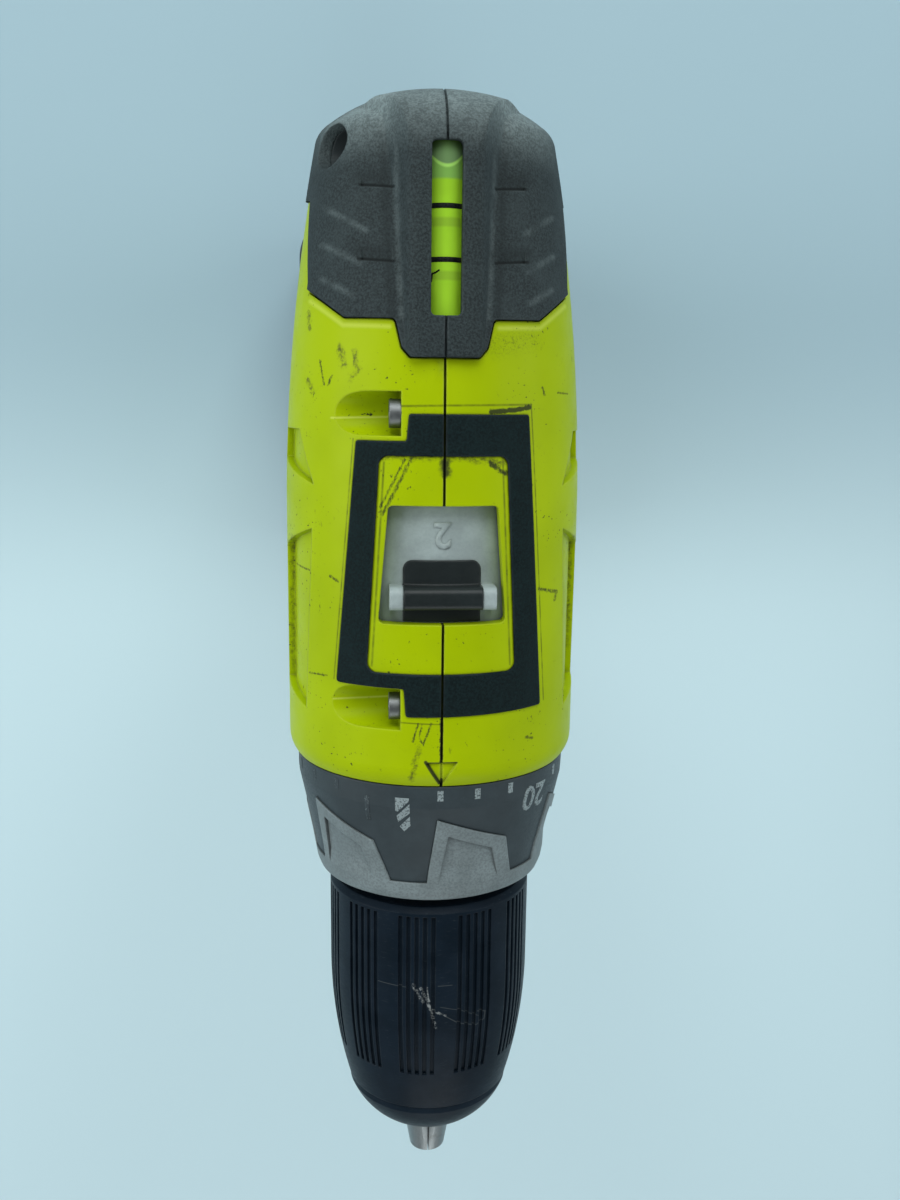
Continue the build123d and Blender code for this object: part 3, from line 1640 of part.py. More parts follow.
def latch(side):
    """Battery release button on one side."""
    outer = side * (battery_width / 2 + latch_proud)
    inner = outer - side * latch_reach
    z0 = latch_rise - latch_height / 2
    near = min(outer, inner)
    far = max(outer, inner)
    return block(near, far, -latch_length / 2, latch_length / 2, z0, z0 + latch_height)


latch_right_form = latch(-1)
latch_left_form = latch(1)
with BuildPart() as battery_latch_right:
    add(latch_right_form)
    fillet(battery_latch_right.faces().sort_by(Axis.X)[0].edges(), radius=0.9)

with BuildPart() as battery_latch_left:
    add(latch_left_form)
    fillet(battery_latch_left.faces().sort_by(Axis.X)[-1].edges(), radius=0.9)

# Files
housing_right.part.label = "housing_right"
export_step(housing_right.part, "parts/housing_right.step")
housing_left.part.label = "housing_left"
export_step(housing_left.part, "parts/housing_left.step")
rear_grip_right.part.label = "rear_grip_right"
export_step(rear_grip_right.part, "parts/rear_grip_right.step")
rear_grip_left.part.label = "rear_grip_left"
export_step(rear_grip_left.part, "parts/rear_grip_left.step")
handle_grip_right.part.label = "handle_grip_right"
export_step(handle_grip_right.part, "parts/handle_grip_right.step")
handle_grip_left.part.label = "handle_grip_left"
export_step(handle_grip_left.part, "parts/handle_grip_left.step")
top_frame_right.part.label = "top_frame_right"
export_step(top_frame_right.part, "parts/top_frame_right.step")
top_frame_left.part.label = "top_frame_left"
export_step(top_frame_left.part, "parts/top_frame_left.step")
housing_screws.part.label = "housing_screws"
export_step(housing_screws.part, "parts/housing_screws.step")
level_vial.part.label = "level_vial"
export_step(level_vial.part, "parts/level_vial.step")
motor_can.part.label = "motor_can"
export_step(motor_can.part, "parts/motor_can.step")
motor_magnets.part.label = "motor_magnets"
export_step(motor_magnets.part, "parts/motor_magnets.step")
motor_end_cap.part.label = "motor_end_cap"
export_step(motor_end_cap.part, "parts/motor_end_cap.step")
carbon_brushes.part.label = "carbon_brushes"
export_step(carbon_brushes.part, "parts/carbon_brushes.step")
motor_bearings.part.label = "motor_bearings"
export_step(motor_bearings.part, "parts/motor_bearings.step")
motor_plate.part.label = "motor_plate"
export_step(motor_plate.part, "parts/motor_plate.step")
gearbox_case.part.label = "gearbox_case"
export_step(gearbox_case.part, "parts/gearbox_case.step")
ring_gear_1.part.label = "ring_gear_1"
export_step(ring_gear_1.part, "parts/ring_gear_1.step")
ring_gear_2.part.label = "ring_gear_2"
export_step(ring_gear_2.part, "parts/ring_gear_2.step")
ring_gear_3.part.label = "ring_gear_3"
export_step(ring_gear_3.part, "parts/ring_gear_3.step")
clutch_pins.part.label = "clutch_pins"
export_step(clutch_pins.part, "parts/clutch_pins.step")
clutch_spring.part.label = "clutch_spring"
export_step(clutch_spring.part, "parts/clutch_spring.step")
clutch_nut.part.label = "clutch_nut"
export_step(clutch_nut.part, "parts/clutch_nut.step")
spindle_bearing.part.label = "spindle_bearing"
export_step(spindle_bearing.part, "parts/spindle_bearing.step")
switch_body.part.label = "switch_body"
export_step(switch_body.part, "parts/switch_body.step")
terminal_block.part.label = "terminal_block"
export_step(terminal_block.part, "parts/terminal_block.step")
motor_shaft.part.label = "motor_shaft"
export_step(motor_shaft.part, "parts/motor_shaft.step")
armature.part.label = "armature"
export_step(armature.part, "parts/armature.step")
commutator.part.label = "commutator"
export_step(commutator.part, "parts/commutator.step")
motor_fan.part.label = "motor_fan"
export_step(motor_fan.part, "parts/motor_fan.step")
stage1_planet_a.part.label = "stage1_planet_a"
export_step(stage1_planet_a.part, "parts/stage1_planet_a.step")
stage1_planet_b.part.label = "stage1_planet_b"
export_step(stage1_planet_b.part, "parts/stage1_planet_b.step")
stage1_planet_c.part.label = "stage1_planet_c"
export_step(stage1_planet_c.part, "parts/stage1_planet_c.step")
carrier_1.part.label = "carrier_1"
export_step(carrier_1.part, "parts/carrier_1.step")
stage2_planets.part.label = "stage2_planets"
export_step(stage2_planets.part, "parts/stage2_planets.step")
carrier_2.part.label = "carrier_2"
export_step(carrier_2.part, "parts/carrier_2.step")
stage3_planet_a.part.label = "stage3_planet_a"
export_step(stage3_planet_a.part, "parts/stage3_planet_a.step")
stage3_planet_b.part.label = "stage3_planet_b"
export_step(stage3_planet_b.part, "parts/stage3_planet_b.step")
stage3_planet_c.part.label = "stage3_planet_c"
export_step(stage3_planet_c.part, "parts/stage3_planet_c.step")
output_carrier.part.label = "output_carrier"
export_step(output_carrier.part, "parts/output_carrier.step")
spindle.part.label = "spindle"
export_step(spindle.part, "parts/spindle.step")
chuck_body.part.label = "chuck_body"
export_step(chuck_body.part, "parts/chuck_body.step")
chuck_sleeve.part.label = "chuck_sleeve"
export_step(chuck_sleeve.part, "parts/chuck_sleeve.step")
chuck_nut.part.label = "chuck_nut"
export_step(chuck_nut.part, "parts/chuck_nut.step")
chuck_nose_ring.part.label = "chuck_nose_ring"
export_step(chuck_nose_ring.part, "parts/chuck_nose_ring.step")
chuck_jaw_a.part.label = "chuck_jaw_a"
export_step(chuck_jaw_a.part, "parts/chuck_jaw_a.step")
chuck_jaw_b.part.label = "chuck_jaw_b"
export_step(chuck_jaw_b.part, "parts/chuck_jaw_b.step")
chuck_jaw_c.part.label = "chuck_jaw_c"
export_step(chuck_jaw_c.part, "parts/chuck_jaw_c.step")
torque_collar.part.label = "torque_collar"
export_step(torque_collar.part, "parts/torque_collar.step")
collar_grip.part.label = "collar_grip"
export_step(collar_grip.part, "parts/collar_grip.step")
speed_selector.part.label = "speed_selector"
export_step(speed_selector.part, "parts/speed_selector.step")
selector_pad.part.label = "selector_pad"
export_step(selector_pad.part, "parts/selector_pad.step")
shift_fork.part.label = "shift_fork"
export_step(shift_fork.part, "parts/shift_fork.step")
trigger.part.label = "trigger"
export_step(trigger.part, "parts/trigger.step")
direction_lever.part.label = "direction_lever"
export_step(direction_lever.part, "parts/direction_lever.step")
battery_case.part.label = "battery_case"
export_step(battery_case.part, "parts/battery_case.step")
battery_lid.part.label = "battery_lid"
export_step(battery_lid.part, "parts/battery_lid.step")
battery_cells.part.label = "battery_cells"
export_step(battery_cells.part, "parts/battery_cells.step")
battery_latch_right.part.label = "battery_latch_right"
export_step(battery_latch_right.part, "parts/battery_latch_right.step")
battery_latch_left.part.label = "battery_latch_left"
export_step(battery_latch_left.part, "parts/battery_latch_left.step")
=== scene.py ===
# Cordless drill-driver: materials, printed marks, level lines, light and camera
import bmesh
import bpy
from math import cos, degrees, radians, sin
from mathutils import Matrix, Vector


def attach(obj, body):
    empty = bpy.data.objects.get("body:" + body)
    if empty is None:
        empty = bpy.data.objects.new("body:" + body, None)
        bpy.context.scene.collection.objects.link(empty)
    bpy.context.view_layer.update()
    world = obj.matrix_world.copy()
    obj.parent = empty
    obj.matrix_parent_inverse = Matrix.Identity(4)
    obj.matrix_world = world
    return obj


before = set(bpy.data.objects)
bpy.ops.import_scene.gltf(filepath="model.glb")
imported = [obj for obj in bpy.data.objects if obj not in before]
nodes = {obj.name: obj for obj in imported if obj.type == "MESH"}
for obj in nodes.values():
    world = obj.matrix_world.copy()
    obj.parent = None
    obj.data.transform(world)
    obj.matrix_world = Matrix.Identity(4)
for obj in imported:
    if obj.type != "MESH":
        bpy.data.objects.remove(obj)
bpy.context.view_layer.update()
scene = bpy.context.scene

# Places on the drill, in metres: the height of the chuck axis, and the joint of collar and barrel.
# Every distance along the drill is measured from that joint to the rear.
AXIS_Z = 0.2089
JOINT_Y = -0.077
MM = 0.001
TOP_FADE = 4 * MM  # marks of the upper side fade in over this height above the axis
BEVEL_SAMPLES = 6
NOOK_SAMPLES = 8


def tint(colour, share):
    """Colour made darker or lighter by a share."""
    return tuple(c * share for c in colour)


def on_axis(distance, angle, radius):
    """Point from a distance and a radius in mm and an angle in degrees from the top toward +X."""
    a = radians(angle)
    return Vector((radius * sin(a) * MM, JOINT_Y + distance * MM, AXIS_Z + radius * cos(a) * MM))


class Shader:
    """Node material with one Principled surface, in the drill's own coordinates."""

    def __init__(self, name):
        self.material = bpy.data.materials.new(name)
        self.material.use_nodes = True
        self.tree = self.material.node_tree
        self.tree.nodes.clear()
        self.surface = self.node("ShaderNodeBsdfPrincipled")
        out = self.node("ShaderNodeOutputMaterial")
        self.tree.links.new(self.surface.outputs[0], out.inputs[0])
        self.place = self.node("ShaderNodeTexCoord").outputs["Object"]
        parts = self.node("ShaderNodeSeparateXYZ")
        self.feed(parts.inputs[0], self.place)
        self.x, self.y, self.z = parts.outputs

    def node(self, kind):
        return self.tree.nodes.new(kind)

    def feed(self, socket, value):
        if isinstance(value, bpy.types.NodeSocket):
            self.tree.links.new(value, socket)
        else:
            socket.default_value = value

    def set(self, **values):
        for name, value in values.items():
            self.feed(self.surface.inputs[name.replace("_", " ")], value)

    def math(self, operation, a, b=0.0, clamp=False):
        n = self.node("ShaderNodeMath")
        n.operation = operation
        n.use_clamp = clamp
        self.feed(n.inputs[0], a)
        self.feed(n.inputs[1], b)
        return n.outputs[0]

    def vector(self, operation, a, b=None, scale=None):
        n = self.node("ShaderNodeVectorMath")
        n.operation = operation
        self.feed(n.inputs[0], a)
        if b is not None:
            self.feed(n.inputs[1], b)
        if scale is not None:
            self.feed(n.inputs["Scale"], scale)
        return n.outputs["Value"] if operation in ("DOT_PRODUCT", "LENGTH") else n.outputs[0]

    def span(self, value, low, high, start=0.0, end=1.0):
        n = self.node("ShaderNodeMapRange")
        n.interpolation_type = "SMOOTHSTEP"
        self.feed(n.inputs[0], value)
        for i, number in enumerate((low, high, start, end)):
            n.inputs[i + 1].default_value = number
        return n.outputs[0]

    def noise(self, size, detail=3.0, rough=0.55, stretch=None, shift=0.0):
        """Noise whose cells measure about size mm, longer along an axis where stretch says so."""
        where = self.place
        if stretch or shift:
            m = self.node("ShaderNodeMapping")
            self.feed(m.inputs["Vector"], where)
            m.inputs["Location"].default_value = (shift, shift * 0.7, shift * 1.3)
            if stretch:
                m.inputs["Scale"].default_value = [1 / s for s in stretch]
            where = m.outputs[0]
        n = self.node("ShaderNodeTexNoise")
        self.feed(n.inputs["Vector"], where)
        n.inputs["Scale"].default_value = 1 / (size * MM)
        n.inputs["Detail"].default_value = detail
        n.inputs["Roughness"].default_value = rough
        return n.outputs[0]

    def mix(self, share, a, b):
        n = self.node("ShaderNodeMix")
        n.data_type = "RGBA"
        self.feed(n.inputs[0], share)
        for socket, value in ((n.inputs[6], a), (n.inputs[7], b)):
            self.feed(socket, (*value, 1.0) if isinstance(value, tuple) else value)
        return n.outputs[2]

    def behind(self):
        """Distance behind the joint, in metres."""
        return self.math("SUBTRACT", self.y, JOINT_Y)

    def upper_side(self):
        """1 on the upper side of the barrel, 0 below its axis."""
        return self.span(self.z, AXIS_Z, AXIS_Z + TOP_FADE)

    def waver(self, size, reach):
        """Noise round zero with cells of size mm, reach mm from its lowest to its highest."""
        centred = self.math("SUBTRACT", self.noise(size, 4.0, 0.7), 0.5)
        return self.math("MULTIPLY", centred, reach * MM)

    def most(self, *shares):
        total = shares[0]
        for share in shares[1:]:
            total = self.math("MAXIMUM", total, share)
        return total

    def times(self, *shares):
        total = shares[0]
        for share in shares[1:]:
            total = self.math("MULTIPLY", total, share)
        return total

    def rounded(self, radius):
        """Normal that softens edges, and how near an edge a point is."""
        b = self.node("ShaderNodeBevel")
        b.samples = BEVEL_SAMPLES
        b.inputs["Radius"].default_value = radius * MM
        g = self.node("ShaderNodeNewGeometry")
        near = self.vector("DOT_PRODUCT", b.outputs[0], g.outputs["Normal"])
        return b.outputs[0], self.span(near, 0.995, 0.90)

    def nooks(self, reach):
        """How deep in a corner or recess a point lies."""
        n = self.node("ShaderNodeAmbientOcclusion")
        n.samples = NOOK_SAMPLES
        n.inputs["Distance"].default_value = reach * MM
        return self.span(n.outputs["AO"], 0.85, 0.35)

    def stroke(self, points, width, soft=0.5, wobble=None):
        """Mark along a line of (x, distance) points in mm, seen from above."""
        total = None
        plan = self.node("ShaderNodeCombineXYZ")
        self.feed(plan.inputs[0], self.x)
        self.feed(plan.inputs[1], self.y)
        for (x0, u0), (x1, u1) in zip(points, points[1:]):
            a = Vector((x0 * MM, JOINT_Y + u0 * MM, 0))
            b = Vector((x1 * MM, JOINT_Y + u1 * MM, 0))
            run = b - a
            away = self.vector("SUBTRACT", plan.outputs[0], a)
            along = self.vector("DOT_PRODUCT", away, run / run.length_squared)
            along = self.math("ADD", along, 0.0, clamp=True)
            foot = self.vector("SCALE", run, scale=along)
            gap = self.vector("LENGTH", self.vector("SUBTRACT", away, foot))
            if wobble is not None:
                gap = self.math("ADD", gap, wobble)
            share = self.span(gap, width * MM / 2, width * MM / 2 * (1 - soft))
            total = share if total is None else self.math("MAXIMUM", total, share)
        return self.math("MULTIPLY", total, self.upper_side())

    def bump(self, height, depth, normal=None, strength=1.0):
        """Relief of depth mm from a height between 0 and 1."""
        n = self.node("ShaderNodeBump")
        n.inputs["Strength"].default_value = strength
        n.inputs["Distance"].default_value = depth * MM
        self.feed(n.inputs["Height"], height)
        if normal is not None:
            self.feed(n.inputs["Normal"], normal)
        return n.outputs[0]


def lime_plastic():
    """Satin lime plastic: dirty seam, specks, streaks, brown smears; painted shade in nooks,
    painted highlights on pale lips.
    """
    fresh = (0.365, 0.478, 0.0015)
    dull = (0.320, 0.424, 0.001)
    dusty = (0.17, 0.19, 0.01)
    pale_highlight_and_wear = (0.62, 0.70, 0.12)
    corner_shade_and_grime = (0.055, 0.06, 0.008)
    line_shade = (0.045, 0.05, 0.008)
    brown = (0.055, 0.055, 0.014)
    seam_black = (0.012, 0.013, 0.006)
    well_grey = (0.036, 0.044, 0.046)
    dirt_black = (0.016, 0.018, 0.014)
    s = Shader("lime_plastic")
    u = s.behind()
    wobble = s.waver(0.6, 1.0)
    ragged = s.waver(1.3, 2.6)
    thin = s.span(s.noise(0.4, 4.0, 0.75, stretch=(1.0, 2.5, 1.0), shift=0.3), 0.28, 0.62)
    cloud = s.noise(26, 3.0)
    colour = s.mix(s.span(cloud, 0.35, 0.7), fresh, dull)
    dust = s.span(s.noise(5, 5.0, 0.7, shift=1.7), 0.60, 0.85)
    colour = s.mix(s.times(dust, 0.25), colour, dusty)
    patches = s.span(s.noise(16, 2.0, shift=0.9), 0.40, 0.62)
    specks = s.times(s.span(s.noise(0.75, 2.0, 0.5, shift=2.1), 0.67, 0.74), patches)
    long_noise = s.noise(1.5, 3.0, 0.65, stretch=(1.0, 2.2, 1.0), shift=4.4)
    flecks = s.times(s.span(long_noise, 0.68, 0.75), patches, 0.8)

    # Pen-like streaks and brown smears, as (x, distance) lines with their width
    streaks = (
        (((-5.7, 65.1), (-11.5, 53.6)), 0.9),
        (((-7.4, 64.0), (-11.9, 55.0)), 0.6),
        (((-4.6, 13.2), (-5.6, 9.6)), 0.5),
        (((-3.9, 13.0), (-4.4, 10.4), (-3.6, 8.8)), 0.5),
        (((-2.1, 13.2), (-3.6, 9.0)), 0.6),
        (((19.6, 38.5), (23.8, 37.2), (23.4, 35.6)), 1.0),
        (((-25.8, 20.2), (-22.4, 20.7)), 0.6),
        (((-28.5, 41.0), (-25.6, 40.8)), 0.6),
        (((-21.5, 40.9), (-20.0, 40.1)), 0.7),
        (((-23.2, 82.2), (-22.4, 77.6)), 0.5),
        (((-20.8, 79.4), (-21.7, 77.4)), 0.6),
        (((17.4, 8.6), (18.8, 8.1)), 0.9),
        (((23.0, 76.6), (25.7, 76.4)), 0.5),
        (((19.3, 77.5), (19.9, 76.1)), 0.7),
    )
    smears = (
        (((-4.4, 8.6), (-5.9, 1.6)), 1.6),
        (((-25.4, 91.4), (-25.2, 88.0)), 1.3),
        (((-19.3, 84.9), (-18.6, 81.2)), 2.0),
        (((-16.6, 83.6), (-16.0, 80.4), (-17.4, 78.6)), 1.6),
        (((-30.2, 21.6), (-29.4, 17.6)), 1.8),
        (((-25.6, 78.6), (-24.6, 76.2)), 1.6),
        (((-12.0, 64.6), (0.0, 64.8), (12.0, 63.8)), 2.4),
        (((-8.6, 22.2), (-6.4, 20.4)), 2.2),
        (((29.2, 47.0), (29.6, 36.0), (29.8, 22.0)), 2.0),
        (((-29.2, 47.0), (-29.6, 36.0), (-29.8, 22.0)), 2.0),
    )
    streak = s.most(*[s.stroke(line, width, 0.7, wobble) for line, width in streaks])
    streak = s.times(streak, thin, 0.9)
    smear = s.most(*[s.stroke(line, width, 1.0, ragged) for line, width in smears])
    smear = s.times(smear, s.span(s.noise(0.9, 4.0, 0.75, shift=7.0), 0.32, 0.66))
    smudge = s.stroke(((9.9, 85.1), (16.5, 86.3)), 7.0, 1.0)
    smudge = s.times(smudge, s.span(s.noise(0.4, 3.0, 0.7), 0.45, 0.7))

    # Firm dirt at the inlay frame's front and rear edges, and the outline of the pointer
    solid = s.most(
        s.stroke(((8.8, 72.9), (13.8, 73.3), (16.5, 73.8)), 1.2, 0.5, wobble),
        s.stroke(((0.0, 63.6), (0.2, 61.6)), 3.0, 0.9, ragged),
        s.stroke(((8.6, 63.6), (11.7, 61.4)), 1.5, 0.9, ragged),
        s.stroke(((-0.1, 14.0), (-0.1, 5.4)), 0.8, 0.6, wobble),
        s.stroke(((-3.1, 5.4), (-0.3, 0.8)), 1.0, 0.6),
        s.stroke(((-3.1, 5.25), (3.0, 5.25)), 0.45, 0.6),
        s.stroke(((0.1, 1.6), (0.1, 0.2)), 0.7, 0.6),
    )

    # Painted shade lines in the gaps beside the inlay frame, painted highlights on the pale lips
    # along the rubber and on the creases in the scoops
    lines = s.most(
        s.stroke(((-8.0, 73.8), (0.0, 74.0), (16.9, 74.3)), 0.7, 0.9),
        s.stroke(((16.9, 74.3), (21.3, 15.4)), 0.5, 0.9),
        s.stroke(((-16.9, 67.6), (-20.9, 20.4)), 0.5, 0.9),
        s.stroke(((-8.2, 13.3), (-0.4, 13.1)), 0.5, 0.9),
        s.stroke(((-11.2, 63.4), (-13.5, 24.2)), 0.7, 0.9),
        s.stroke(((11.2, 63.4), (13.5, 24.2)), 0.7, 0.9),
    )
    lines = s.times(lines, s.span(s.noise(4, 4.0, 0.7, shift=8.0), 0.30, 0.60, 0.35, 0.85))
    lip_highlight = s.most(
        s.stroke(((-25.0, 93.4), (-18.7, 88.6), (-10.2, 88.2)), 1.5, 1.0),
        s.stroke(((25.0, 93.4), (18.7, 88.6), (10.2, 88.2)), 1.5, 1.0),
    )
    scoop_crease_highlight = s.most(
        s.stroke(((-21.0, 71.4), (-9.6, 71.7)), 0.7, 1.0),
        s.stroke(((-21.0, 16.2), (-9.8, 16.6)), 0.7, 1.0),
    )

    # Middle seam, which stops at the pointer and is fainter at the rear; the rear screw's dark well
    off_pointer = s.most(s.span(u, 0.0054, 0.0060), s.span(u, 0.0010, 0.0006))
    seam = s.times(s.span(s.math("ABSOLUTE", s.x), 0.0003, 0.0002), s.upper_side(), off_pointer)
    seam = s.times(seam, s.span(u, 0.072, 0.078, 0.92, 0.70))
    screw_well = s.times(s.span(u, 0.1165, 0.1175), s.span(s.z, AXIS_Z + 0.002, AXIS_Z + 0.004))

    # The layers, from the widest to the darkest
    soft_normal, edge = s.rounded(0.5)
    # Painted shade: corners and recesses darker, broken up by noise like grime
    lime_nook_shade = s.times(s.nooks(1.6), s.span(s.noise(3, 3.0, shift=3.3), 0.30, 0.62), 0.55)
    dirt = s.most(streak, specks, flecks, s.times(smudge, 0.5), s.times(solid, 0.9))
    # Painted highlight: edges, lips and scoop creases made lighter, the edges also a little worn
    pale = s.most(s.times(edge, 0.18), s.times(scoop_crease_highlight, 0.6), s.times(lip_highlight, 0.40))
    colour = s.mix(pale, colour, pale_highlight_and_wear)
    colour = s.mix(lime_nook_shade, colour, corner_shade_and_grime)
    colour = s.mix(s.times(lines, 0.75), colour, line_shade)
    colour = s.mix(s.times(smear, 0.85), colour, brown)
    colour = s.mix(seam, colour, seam_black)
    colour = s.mix(screw_well, colour, well_grey)
    colour = s.mix(dirt, colour, dirt_black)
    grain = s.noise(0.35, 2.0, 0.5)
    matt = s.math("ADD", s.noise(4, 3.0, shift=5.0), s.times(dirt, 0.5))
    s.set(Base_Color=colour, Roughness=s.span(matt, 0.25, 1.0, 0.30, 0.52))
    s.set(Specular_IOR_Level=0.06, Normal=s.bump(grain, 0.012, soft_normal))
    return s.material


def rubber(name, base, worn, ribs, gloss=0.14):
    """Grained dark rubber, greyer where it is rubbed; ribs adds the rear cap's painted sheen,
    painted highlights and painted shade.
    """
    step_shade = (0.004, 0.006, 0.006)
    s = Shader(name)
    soft_normal, edge = s.rounded(0.7)
    grain = s.noise(0.45, 3.0, 0.7)
    coarse = s.noise(1.4, 3.0, 0.6, shift=0.8)
    cloud = s.noise(9, 3.0, shift=2.0)
    colour = s.mix(s.span(grain, 0.34, 0.66), tint(base, 0.50), tint(base, 1.22))
    colour = s.mix(s.times(s.span(cloud, 0.45, 0.75), 0.30), colour, tint(base, 1.5))
    wear_and_sheen = s.times(edge, s.span(cloud, 0.30, 0.6), 0.10 if ribs else 0.5)
    if ribs:
        u = s.behind()
        speckle = s.math("ADD", grain, s.times(coarse, 0.5))
        speckle = s.span(speckle, 0.60, 0.92, 0.50, 1.0)
        # Painted sheen with wear: the cap's rear made lighter, most on its upper side and its
        # shoulders
        upper = s.span(s.z, AXIS_Z + 0.004, AXIS_Z + 0.016, 0.15, 1.0)
        beside = s.span(s.math("ABSOLUTE", s.x), 0.0085, 0.0115, 0.72, 1.0)
        rear = s.times(s.span(u, 0.1165, 0.1325), s.span(cloud, 0.2, 0.7, 0.76, 1.0))
        rear = s.times(rear, speckle, upper, beside)

        # Slanted facets, the edges of the two steps on each side, and the crests of the ridge:
        # painted highlights with wear on facets and crests, painted shade at and behind the steps
        # and at the ridge's foot
        facets = (
            ((-22.1, 110.4), (-14.5, 105.5)),
            ((-22.6, 103.6), (-15.6, 99.8)),
            ((-22.7, 97.2), (-16.8, 94.0)),
            ((21.5, 109.6), (15.4, 105.6)),
            ((21.6, 102.2), (15.8, 98.8)),
            ((21.2, 95.9), (16.4, 92.9)),
        )
        steps = (
            ((-15.4, 113.9), (-9.4, 113.1)),
            ((-15.8, 100.5), (-9.4, 99.8)),
            ((15.4, 113.9), (9.4, 113.1)),
            ((15.8, 100.5), (9.4, 99.8)),
        )
        crests = (
            ((-9.4, 126.0), (-8.9, 113.0), (-8.5, 100.0), (-8.0, 90.0)),
            ((9.4, 126.0), (8.9, 113.0), (8.5, 100.0), (8.0, 90.0)),
        )
        facet_highlight_and_wear = s.most(*[s.stroke(line, 2.0, 1.0) for line in facets + crests])
        facet_highlight_and_wear = s.times(facet_highlight_and_wear, s.span(s.noise(4, 3.0, shift=3.0), 0.35, 0.62, 0.2, 1.0), 0.16)
        wear_and_sheen = s.most(wear_and_sheen, rear, s.times(facet_highlight_and_wear, s.span(grain, 0.25, 0.6, 0.5, 1.0)))
        shade = s.most(*[s.stroke(line, 1.0, 0.9) for line in steps])
        step_hollow_shade_lines = [[(x, distance + 1.6) for x, distance in line] for line in steps]
        step_hollow_shade = s.most(*[s.stroke(line, 4.4, 1.0) for line in step_hollow_shade_lines])
        ridge_foot_shade_lines = [[(x * 1.22, distance) for x, distance in line] for line in crests]
        foot = s.most(*[s.stroke(line, 3.0, 1.0) for line in ridge_foot_shade_lines])
        # Painted shade in the hollow behind each step and at the foot of the ridge
        colour = s.mix(s.times(s.most(step_hollow_shade, foot), 0.42), colour, tint(base, 0.4))
    colour = s.mix(wear_and_sheen, colour, worn)
    if ribs:
        colour = s.mix(s.times(shade, 0.85), colour, step_shade)
    height = s.math("ADD", grain, s.times(coarse, 0.9))
    s.set(Base_Color=colour, Specular_IOR_Level=gloss)
    s.set(Roughness=s.span(grain, 0.3, 0.7, 0.58, 0.76))
    s.set(Normal=s.bump(height, 0.15, soft_normal, 0.95))
    return s.material


DARK_SHADE_AND_GRIME = (0.02, 0.022, 0.022)


def moulded(name, base, worn, rough, grain_size=0.5, wear=0.5, nook_shade_and_grime=DARK_SHADE_AND_GRIME, speckle=0.05):
    """Moulded plastic with a fine texture, rubbed edges, and painted shade with grime in its
    corners.
    """
    s = Shader(name)
    soft_normal, edge = s.rounded(0.6)
    cloud = s.noise(7, 3.0, shift=1.1)
    fine = s.noise(grain_size, 2.0, 0.6)
    colour = s.mix(s.span(cloud, 0.35, 0.7), tint(base, 0.88), tint(base, 1.1))
    colour = s.mix(s.times(s.span(fine, 0.62, 0.35), 2 * speckle), colour, tint(base, 0.4))
    lines = s.span(s.noise(0.5, 3.0, 0.6, stretch=(0.7, 5.0, 1.0), shift=6.0), 0.66, 0.78)
    colour = s.mix(s.times(lines, 0.30 * wear), colour, worn)
    colour = s.mix(s.times(edge, s.span(cloud, 0.30, 0.65), wear), colour, worn)
    # Painted shade: corners and recesses darkened toward the nook shade colour
    colour = s.mix(s.times(s.nooks(1.4), 0.6), colour, nook_shade_and_grime)
    s.set(Base_Color=colour, Specular_IOR_Level=0.25)
    s.set(Roughness=s.span(fine, 0.3, 0.7, rough - 0.06, rough + 0.08))
    s.set(Normal=s.bump(fine, 0.015, soft_normal, 0.8))
    return s.material


def metal(name, base, rough, ring=False, stain=(0.10, 0.09, 0.08)):
    """Machined metal with turning lines and a little staining."""
    s = Shader(name)
    soft_normal, _ = s.rounded(0.25)
    lines = s.noise(0.25, 2.0, 0.5, stretch=(6.0, 0.6, 6.0) if ring else (1.0, 6.0, 1.0))
    cloud = s.noise(3.5, 4.0, 0.65, shift=2.2)
    colour = s.mix(s.span(lines, 0.3, 0.7), tint(base, 0.85), base)
    colour = s.mix(s.times(s.span(cloud, 0.52, 0.78), 0.5), colour, stain)
    colour = s.mix(s.times(s.nooks(1.0), 0.6), colour, tint(stain, 0.4))
    s.set(Base_Color=colour, Metallic=1.0)
    s.set(Roughness=s.span(lines, 0.3, 0.7, rough - 0.06, rough + 0.10))
    s.set(Normal=s.bump(lines, 0.006, soft_normal, 0.6))
    return s.material


def vial_fluid():
    """Lime fluid behind clear plastic, a shade below each line, the bubble and a stuck hair."""
    fluid = (0.375, 0.690, 0.030)
    deep_fluid = (0.335, 0.625, 0.026)
    line_shade = (0.20, 0.33, 0.035)
    bubble_front = (0.215, 0.44, 0.085)
    bubble_rear = (0.155, 0.27, 0.105)
    bubble_rim = (0.40, 0.74, 0.15)
    dark_end = (0.050, 0.105, 0.018)
    hair_black = (0.008, 0.010, 0.006)
    s = Shader("vial_fluid")
    u = s.behind()
    colour = s.mix(s.span(s.noise(6, 2.0), 0.3, 0.7), fluid, deep_fluid)
    for shade_place in (0.1065, 0.0972):
        gap = s.math("ABSOLUTE", s.math("SUBTRACT", u, shade_place))
        colour = s.mix(s.times(s.span(gap, 0.0011, 0.0005), 0.45), colour, line_shade)
    colour = s.mix(s.span(u, 0.1136, 0.1143), colour, bubble_front)
    bow = s.times(s.x, s.x, 220.0)
    rim = s.math("SUBTRACT", s.math("SUBTRACT", u, 0.1161), bow)
    colour = s.mix(s.span(rim, -0.0001, 0.0004), colour, bubble_rear)
    glint = s.span(s.math("ABSOLUTE", rim), 0.0005, 0.0001)
    colour = s.mix(s.times(glint, 0.85), colour, bubble_rim)
    colour = s.mix(s.span(u, 0.1180, 0.1206), colour, dark_end)
    hair = s.stroke(((-2.65, 96.2), (-2.5, 97.5), (-1.9, 97.7), (-1.3, 98.1)), 0.45, 0.5)
    colour = s.mix(hair, colour, hair_black)
    s.set(Base_Color=colour, Roughness=0.10, Specular_IOR_Level=0.35)
    return s.material


